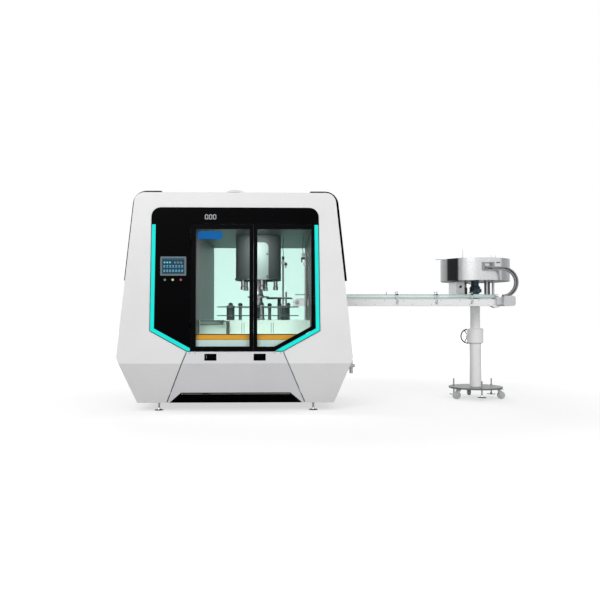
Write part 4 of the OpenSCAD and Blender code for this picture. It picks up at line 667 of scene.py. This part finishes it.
def cabin_details():
    """Seams on the table's front, strips of painted shade above and below the orange bar, the
    sensors on their posts and the knobs over the table.
    """
    g = Piece("table_lines", "cabinet", DARK, "dark_plastic")
    for x in (64, 86, 358, 380):
        g.box((x - 2, -915.6, 785), (x + 2, -914.4, 894))
    # Above and below the orange bar: its gaps, darkened as painted shade
    for y, z0, z1 in ((-916.8, 774, 781.8), (-916.6, 716.3, 725)):
        g.box((-393, y, z0), (760, -911.1, z1))
    g.done()

    s = Piece("post_sensors", "cabinet", DARK, "dark_plastic")
    s.box((466, -196, 1596), (494, -160, 1628)).box((472, -226, 1604), (488, -196, 1620))
    s.box((494, -186, 1528), (528, -166, 1552)).rod((511, -176, 1500), (511, -176, 1528), 6)
    s.box((676, -352, 1584), (716, -308, 1606)).rod((684, -330, 1550), (684, -330, 1584), 7)
    s.done(1.5)

    c = Piece("sensor_clamps", "cabinet", CHROME, "steel")
    c.rod((480, -200, 1556), (480, -216, 1556), 7).rod((500, -176, 1556), (520, -176, 1556), 6)
    c.box((702, -346, 1516), (732, -314, 1546)).rod((717, -346, 1531), (717, -362, 1531), 6)
    c.done(1)

    # Hoses from the sensors up to the ceiling, slightly waved
    h = Piece("sensor_hoses", "cabinet", BLACK_RUBBER, "dark_plastic")
    ceiling = 1832
    for x, y, z in ((480, -176, 1622), (696, -330, 1600)):
        h.tube([(x + 4 * math.sin(t * 0.9), y, z + (ceiling - z) * t / 10) for t in range(11)],
               3.5)
    h.done()

    k = Piece("knob_lobes", "cabinet", DARK, "dark_plastic")
    for x, y in ((-100.0, -201.7), (0.8, -99.9), (327.9, -22.2), (439.7, -143.3),
                 (536.8, -198.8), (166.0, -520.0), (250.0, -520.0)):
        k.lathe((x, y, 1104), (0, 0, 1), [(0, 0), (17, 0), (17, 3), (12, 7), (0, 7.5)], 24)
        for n in range(6):
            d = spoke(math.radians(60 * n))
            lobe = x + 19 * d[0], y + 19 * d[1]
            k.rod((*lobe, 1080), (*lobe, 1102), 5.5, 12)
    k.done()


def flap_edge(z):
    """Half of the flap's width at a height, less the gap beside it."""
    low_half, top_half, z0, height, gap = 705.0, 483, 80, 527, 3.2
    return low_half + (top_half - low_half) * (z - z0) / height - gap


def front_details():
    """Beads along the flap's edges, the left one darker than the right as painted shade, its
    screws, the doors' lips and the left gasket.
    """
    top, bend, foot, toe_in, proud = 600, 490.0, 90, 170, 1.2
    foot_y = FRONT - proud + toe_in * (bend - foot) / 410
    # The left bead is black and the right one slate: painted shade on the left seam and a lighter
    # right seam
    for side, word, look in ((-1, "left", BLACK_RUBBER), (1, "right", SLATE)):
        bead = Piece(f"flap_bead_{word}", "front_flap", look, "dark_plastic")
        bead.tube([(side * flap_edge(top), FRONT - proud, top),
                   (side * flap_edge(bend), FRONT - proud, bend),
                   (side * flap_edge(foot), foot_y, foot)], 2.8, 10)
        bead.done()
    o = Piece("flap_screws", "front_flap", DARK, "dark_plastic")
    for x in (-455, -395, 395, 455):
        o.screw((x, FRONT, 592), (0, -1, 0), 4.5, 1.6)
    o.done()
    for name, x in (("left_door", 180.5), ("right_door", 182.3)):
        lip = Piece(f"{name}_lip", name, BLACK_RUBBER, "black")
        lip.box((x, FASCIA + 0.6, 624), (x + 1.2, FASCIA + 5.6, 1878)).done()
    g = Piece("left_gasket", "left_door", BLACK_RUBBER, "black")
    for z0, z1 in ((656, 659), (1830, 1833)):
        g.box((-394, FASCIA + 4.5, z0), (144.5, FASCIA + 7.9, z1))
    for x0, x1 in ((-394, -391), (141.5, 144.5)):
        g.box((x0, FASCIA + 4.5, 656), (x1, FASCIA + 7.9, 1833))
    g.done()


# ---------------------------------------------------------------- conveyor and feeder details
CLEAR = tinted_glass("clear acrylic", (0.78, 0.98, 0.92, 1), 0.30)
SEAL = plastic("green seal", rgb(70, 122, 108), 0.4, 0.1)


def conveyor_details():
    """Clear guide sheets with their seals, bolts, knobs and the rollers' bearings."""
    for i, side in enumerate((-1, 1)):
        y = BELT_Y + side * 24
        sheet = Piece(f"guide_sheet_{i + 1}", "feeder", CLEAR, "glass")
        sheet.box((800, y - 1.5, 1164), (2850, y + 1.5, 1199.6)).done(0.5)
        seal = Piece(f"guide_seal_{i + 1}", "feeder", SEAL, "slate")
        seal_y = y + side * 1.6
        seal.box((801, seal_y - 1, 1164.4), (2849, seal_y + 1, 1170)).done(0.3)

    b = Piece("conveyor_bolts", "feeder", CHROME, "steel")
    for x in range(760, 2880, 212):
        b.screw((x, BELT_Y - 53, 1140), (0, -1, 0), 6, 3)
        b.screw((x + 106, BELT_Y - 53, 1096), (0, -1, 0), 6, 3)
        b.screw((x, BELT_Y + 53, 1140), (0, 1, 0), 6, 3)
    b.done()

    n = Piece("rail_knobs", "feeder", DARK, "dark_plastic")
    knob = [(0, 0), (12.5, 0), (13, 2), (13, 14), (11, 16), (0, 16)]
    for x in (860, 1752, 2196, 2592):
        for side in (-1, 1):
            y = BELT_Y + side * 60
            n.lathe((x, y, 1196), (0, 0, 1), knob, 12)
            n.rod((x, y, 1232), (x, y, 1236.5), 7)
            for dx, z in ((-6, 1110), (6, 1132)):
                n.bolt((x + dx, BELT_Y + side * 67, z), (0, side, 0), 4, 3.5)
    n.done()

    e = Piece("bearing_flange", "feeder", ALU, "silver")
    flange = [(10.4, 0), (27, 0), (27, 4), (18, 5), (17, 10), (10.4, 10)]
    for x, side in ((632.5, 1), (3010.0, 1), (632.5, -1)):
        e.lathe((x, BELT_Y + side * 53, AXIS_Z), (0, side, 0), flange, 32)
    e.done()


def by_bowl(x, y, z):
    """A point given from the bowl's axis."""
    return BOWL_X + x, FEEDER_Y + y, z


def feeder_details():
    """The motor's fins, the parts on its box, and those on and around the bowl."""
    m = Piece("motor_fins", "feeder", MOTOR, "slate_motor")
    for k in range(7):
        m.lathe(by_bowl(0, 0, 1250 + k * 8), (0, 0, 1),
                [(62.1, 0), (66, 0.6), (66, 2.4), (62.1, 3)], 48)
    m.box(by_bowl(6, -86, 1250), by_bowl(50, -82, 1278)).done(0.6)

    d = Piece("box_parts", "feeder", DARK, "dark_plastic")
    d.lathe(by_bowl(-220, -193, 1306), (0, -1, 0),
            [(0, 0), (15, 0), (15, 4), (9, 6), (9, 12), (7, 14), (0, 14)], 28)
    d.box(by_bowl(-170, -139, 1202), by_bowl(-132, -135.2, 1288))
    d.rod(by_bowl(-150, -75, 1298), by_bowl(-150, -75, 1310), 9)
    # A lead from the box up and over to the motor
    d.tube([by_bowl(-150, -75, 1306), by_bowl(-150, -75, 1330), by_bowl(-142, -76, 1346),
            by_bowl(-124, -78, 1352), by_bowl(-96, -79, 1350), by_bowl(-70, -80, 1338),
            by_bowl(-48, -79, 1316), by_bowl(-30, -74, 1290), by_bowl(-24, -66, 1272)], 5)
    d.done(0.6)

    p = Piece("bowl_parts", "feeder", STEEL, "steel")
    p.box(by_bowl(-470, -6, 1632), by_bowl(-250, 6, 1640)).done(1)

    g = Piece("damper_housing", "feeder", DARK, "dark_plastic")
    g.box((2852, 158, 1198.3), (2904, 218, 1366)).box((2856, 152, 1230), (2900, 158, 1330))
    g.done(2)

    r = Piece("rim_rods", "feeder", CHROME, "steel")
    r.rod((2530, -50, 1631), (2530, -50, 1716), 3, 12)
    r.rod((2530, -50, 1631), (2530, -50, 1637), 8, 16)
    for x, y in ((2838, -112), (2889, -98)):
        r.rod((x, y, 1631), (x, y, 1652), 3.5, 12)
    r.done()

    n = Piece("outlet_parts", "feeder", DARK, "dark_plastic")
    y = BELT_Y - 6
    for x in (2894, 2916):
        n.rod((x, y - 12, 1568), (x, y + 6, 1568), 8)
    n.done()


control_panel()
header_digits()
label_strip()
pull_details()
drum_details()
cabin_details()
front_details()
conveyor_details()
feeder_details()


# ---------------------------------------------------------------- stage, light and camera
def make_stage():
    """A pale floor that fades into the white background with distance."""
    half = 40
    fade_from, fade_to = 2.5, 8.0
    mesh = bpy.data.meshes.new("floor")
    mesh.from_pydata([(-half, -half, 0), (half, -half, 0), (half, half, 0), (-half, half, 0)],
                     [], [(0, 1, 2, 3)])
    floor = bpy.data.objects.new("floor", mesh)
    bpy.context.scene.collection.objects.link(floor)
    m = Maker("floor paint")
    ray = m.node("ShaderNodeLightPath")
    cloud = m.between(m.noise(0.4, 3), 0, 1)
    m.colour(m.blend(cloud, (0.42, 0.42, 0.42, 1), (0.40, 0.40, 0.40, 1)))
    m.rough(0.9)
    m.set(Specular_IOR_Level=0.1, Emission_Color=(1, 1, 1, 1))
    seen = m.node("ShaderNodeMath", operation="MAXIMUM")
    m.link(ray.outputs["Is Camera Ray"], seen.inputs[0])
    m.link(ray.outputs["Is Transmission Ray"], seen.inputs[1])
    k = m.node("ShaderNodeMath", operation="MULTIPLY")
    m.link(seen.outputs[0], k.inputs[0])
    far = m.node("ShaderNodeVectorMath", operation="LENGTH")
    m.link(m.pos, far.inputs[0])
    m.link(m.between(far.outputs["Value"], 0.62, 0.95, fade_from, fade_to), k.inputs[1])
    m.link(k.outputs[0], m.b.inputs["Emission Strength"])
    mesh.materials.append(m.m)


def make_world():
    """A white room: full white where it's seen or mirrored, and dimmer as a light."""
    as_light, as_seen = 0.46, 1.0
    world = bpy.data.worlds.new("studio")
    bpy.context.scene.world = world
    world.use_nodes = True
    t = world.node_tree
    back = t.nodes["Background"]
    ray = t.nodes.new("ShaderNodeLightPath")
    a = t.nodes.new("ShaderNodeMath")
    b = t.nodes.new("ShaderNodeMath")
    a.operation = b.operation = "MAXIMUM"
    t.links.new(ray.outputs["Is Camera Ray"], a.inputs[0])
    t.links.new(ray.outputs["Is Glossy Ray"], a.inputs[1])
    t.links.new(a.outputs[0], b.inputs[0])
    t.links.new(ray.outputs["Is Transmission Ray"], b.inputs[1])
    mix = t.nodes.new("ShaderNodeMapRange")
    mix.inputs["To Min"].default_value = as_light
    mix.inputs["To Max"].default_value = as_seen
    t.links.new(b.outputs[0], mix.inputs["Value"])
    back.inputs["Color"].default_value = (1, 1, 1, 1)
    t.links.new(mix.outputs[0], back.inputs["Strength"])


def lamp(name, where, to, size, power, mirrored=True):
    """A soft lamp at one point that faces another. Not mirrored, it makes no highlights."""
    d = bpy.data.lights.new(name, "AREA")
    d.shape = "RECTANGLE"
    d.size, d.size_y = size
    d.energy = power
    o = bpy.data.objects.new(name, d)
    bpy.context.scene.collection.objects.link(o)
    o.location = where
    o.rotation_euler = (Vector(to) - Vector(where)).to_track_quat("-Z", "Y").to_euler()
    o.visible_glossy = mirrored


def make_camera():
    """The place, tilt and pan that were matched to the photo."""
    tilt_up, pan_right = 1.506, 1.555
    d = bpy.data.cameras.new("photo camera")
    d.lens, d.sensor_width = 42.0, 36.0
    d.clip_end = 200
    o = bpy.data.objects.new("photo camera", d)
    bpy.context.scene.collection.objects.link(o)
    o.location = at(457, -7970, 938)
    o.rotation_euler = (math.radians(90 + tilt_up), 0, math.radians(-pan_right))
    bpy.context.scene.camera = o


make_camera()
make_world()
lamp("key", (-4.5, -11, 7.4), (-0.9, 0, 1.0), (6, 6), 610)
lamp("fill", (6.0, -11, 2.6), (0.8, 0, 1.0), (6, 5), 420, mirrored=False)
lamp("back", (-2, 11, 6.5), (0, 0, 1.2), (6, 6), 420)
lamp("cabin light", at(180, -700, 1828), at(180, -500, 900), (0.9, 0.25), 24, mirrored=False)
make_stage()
bpy.context.scene.view_settings.view_transform = "Standard"
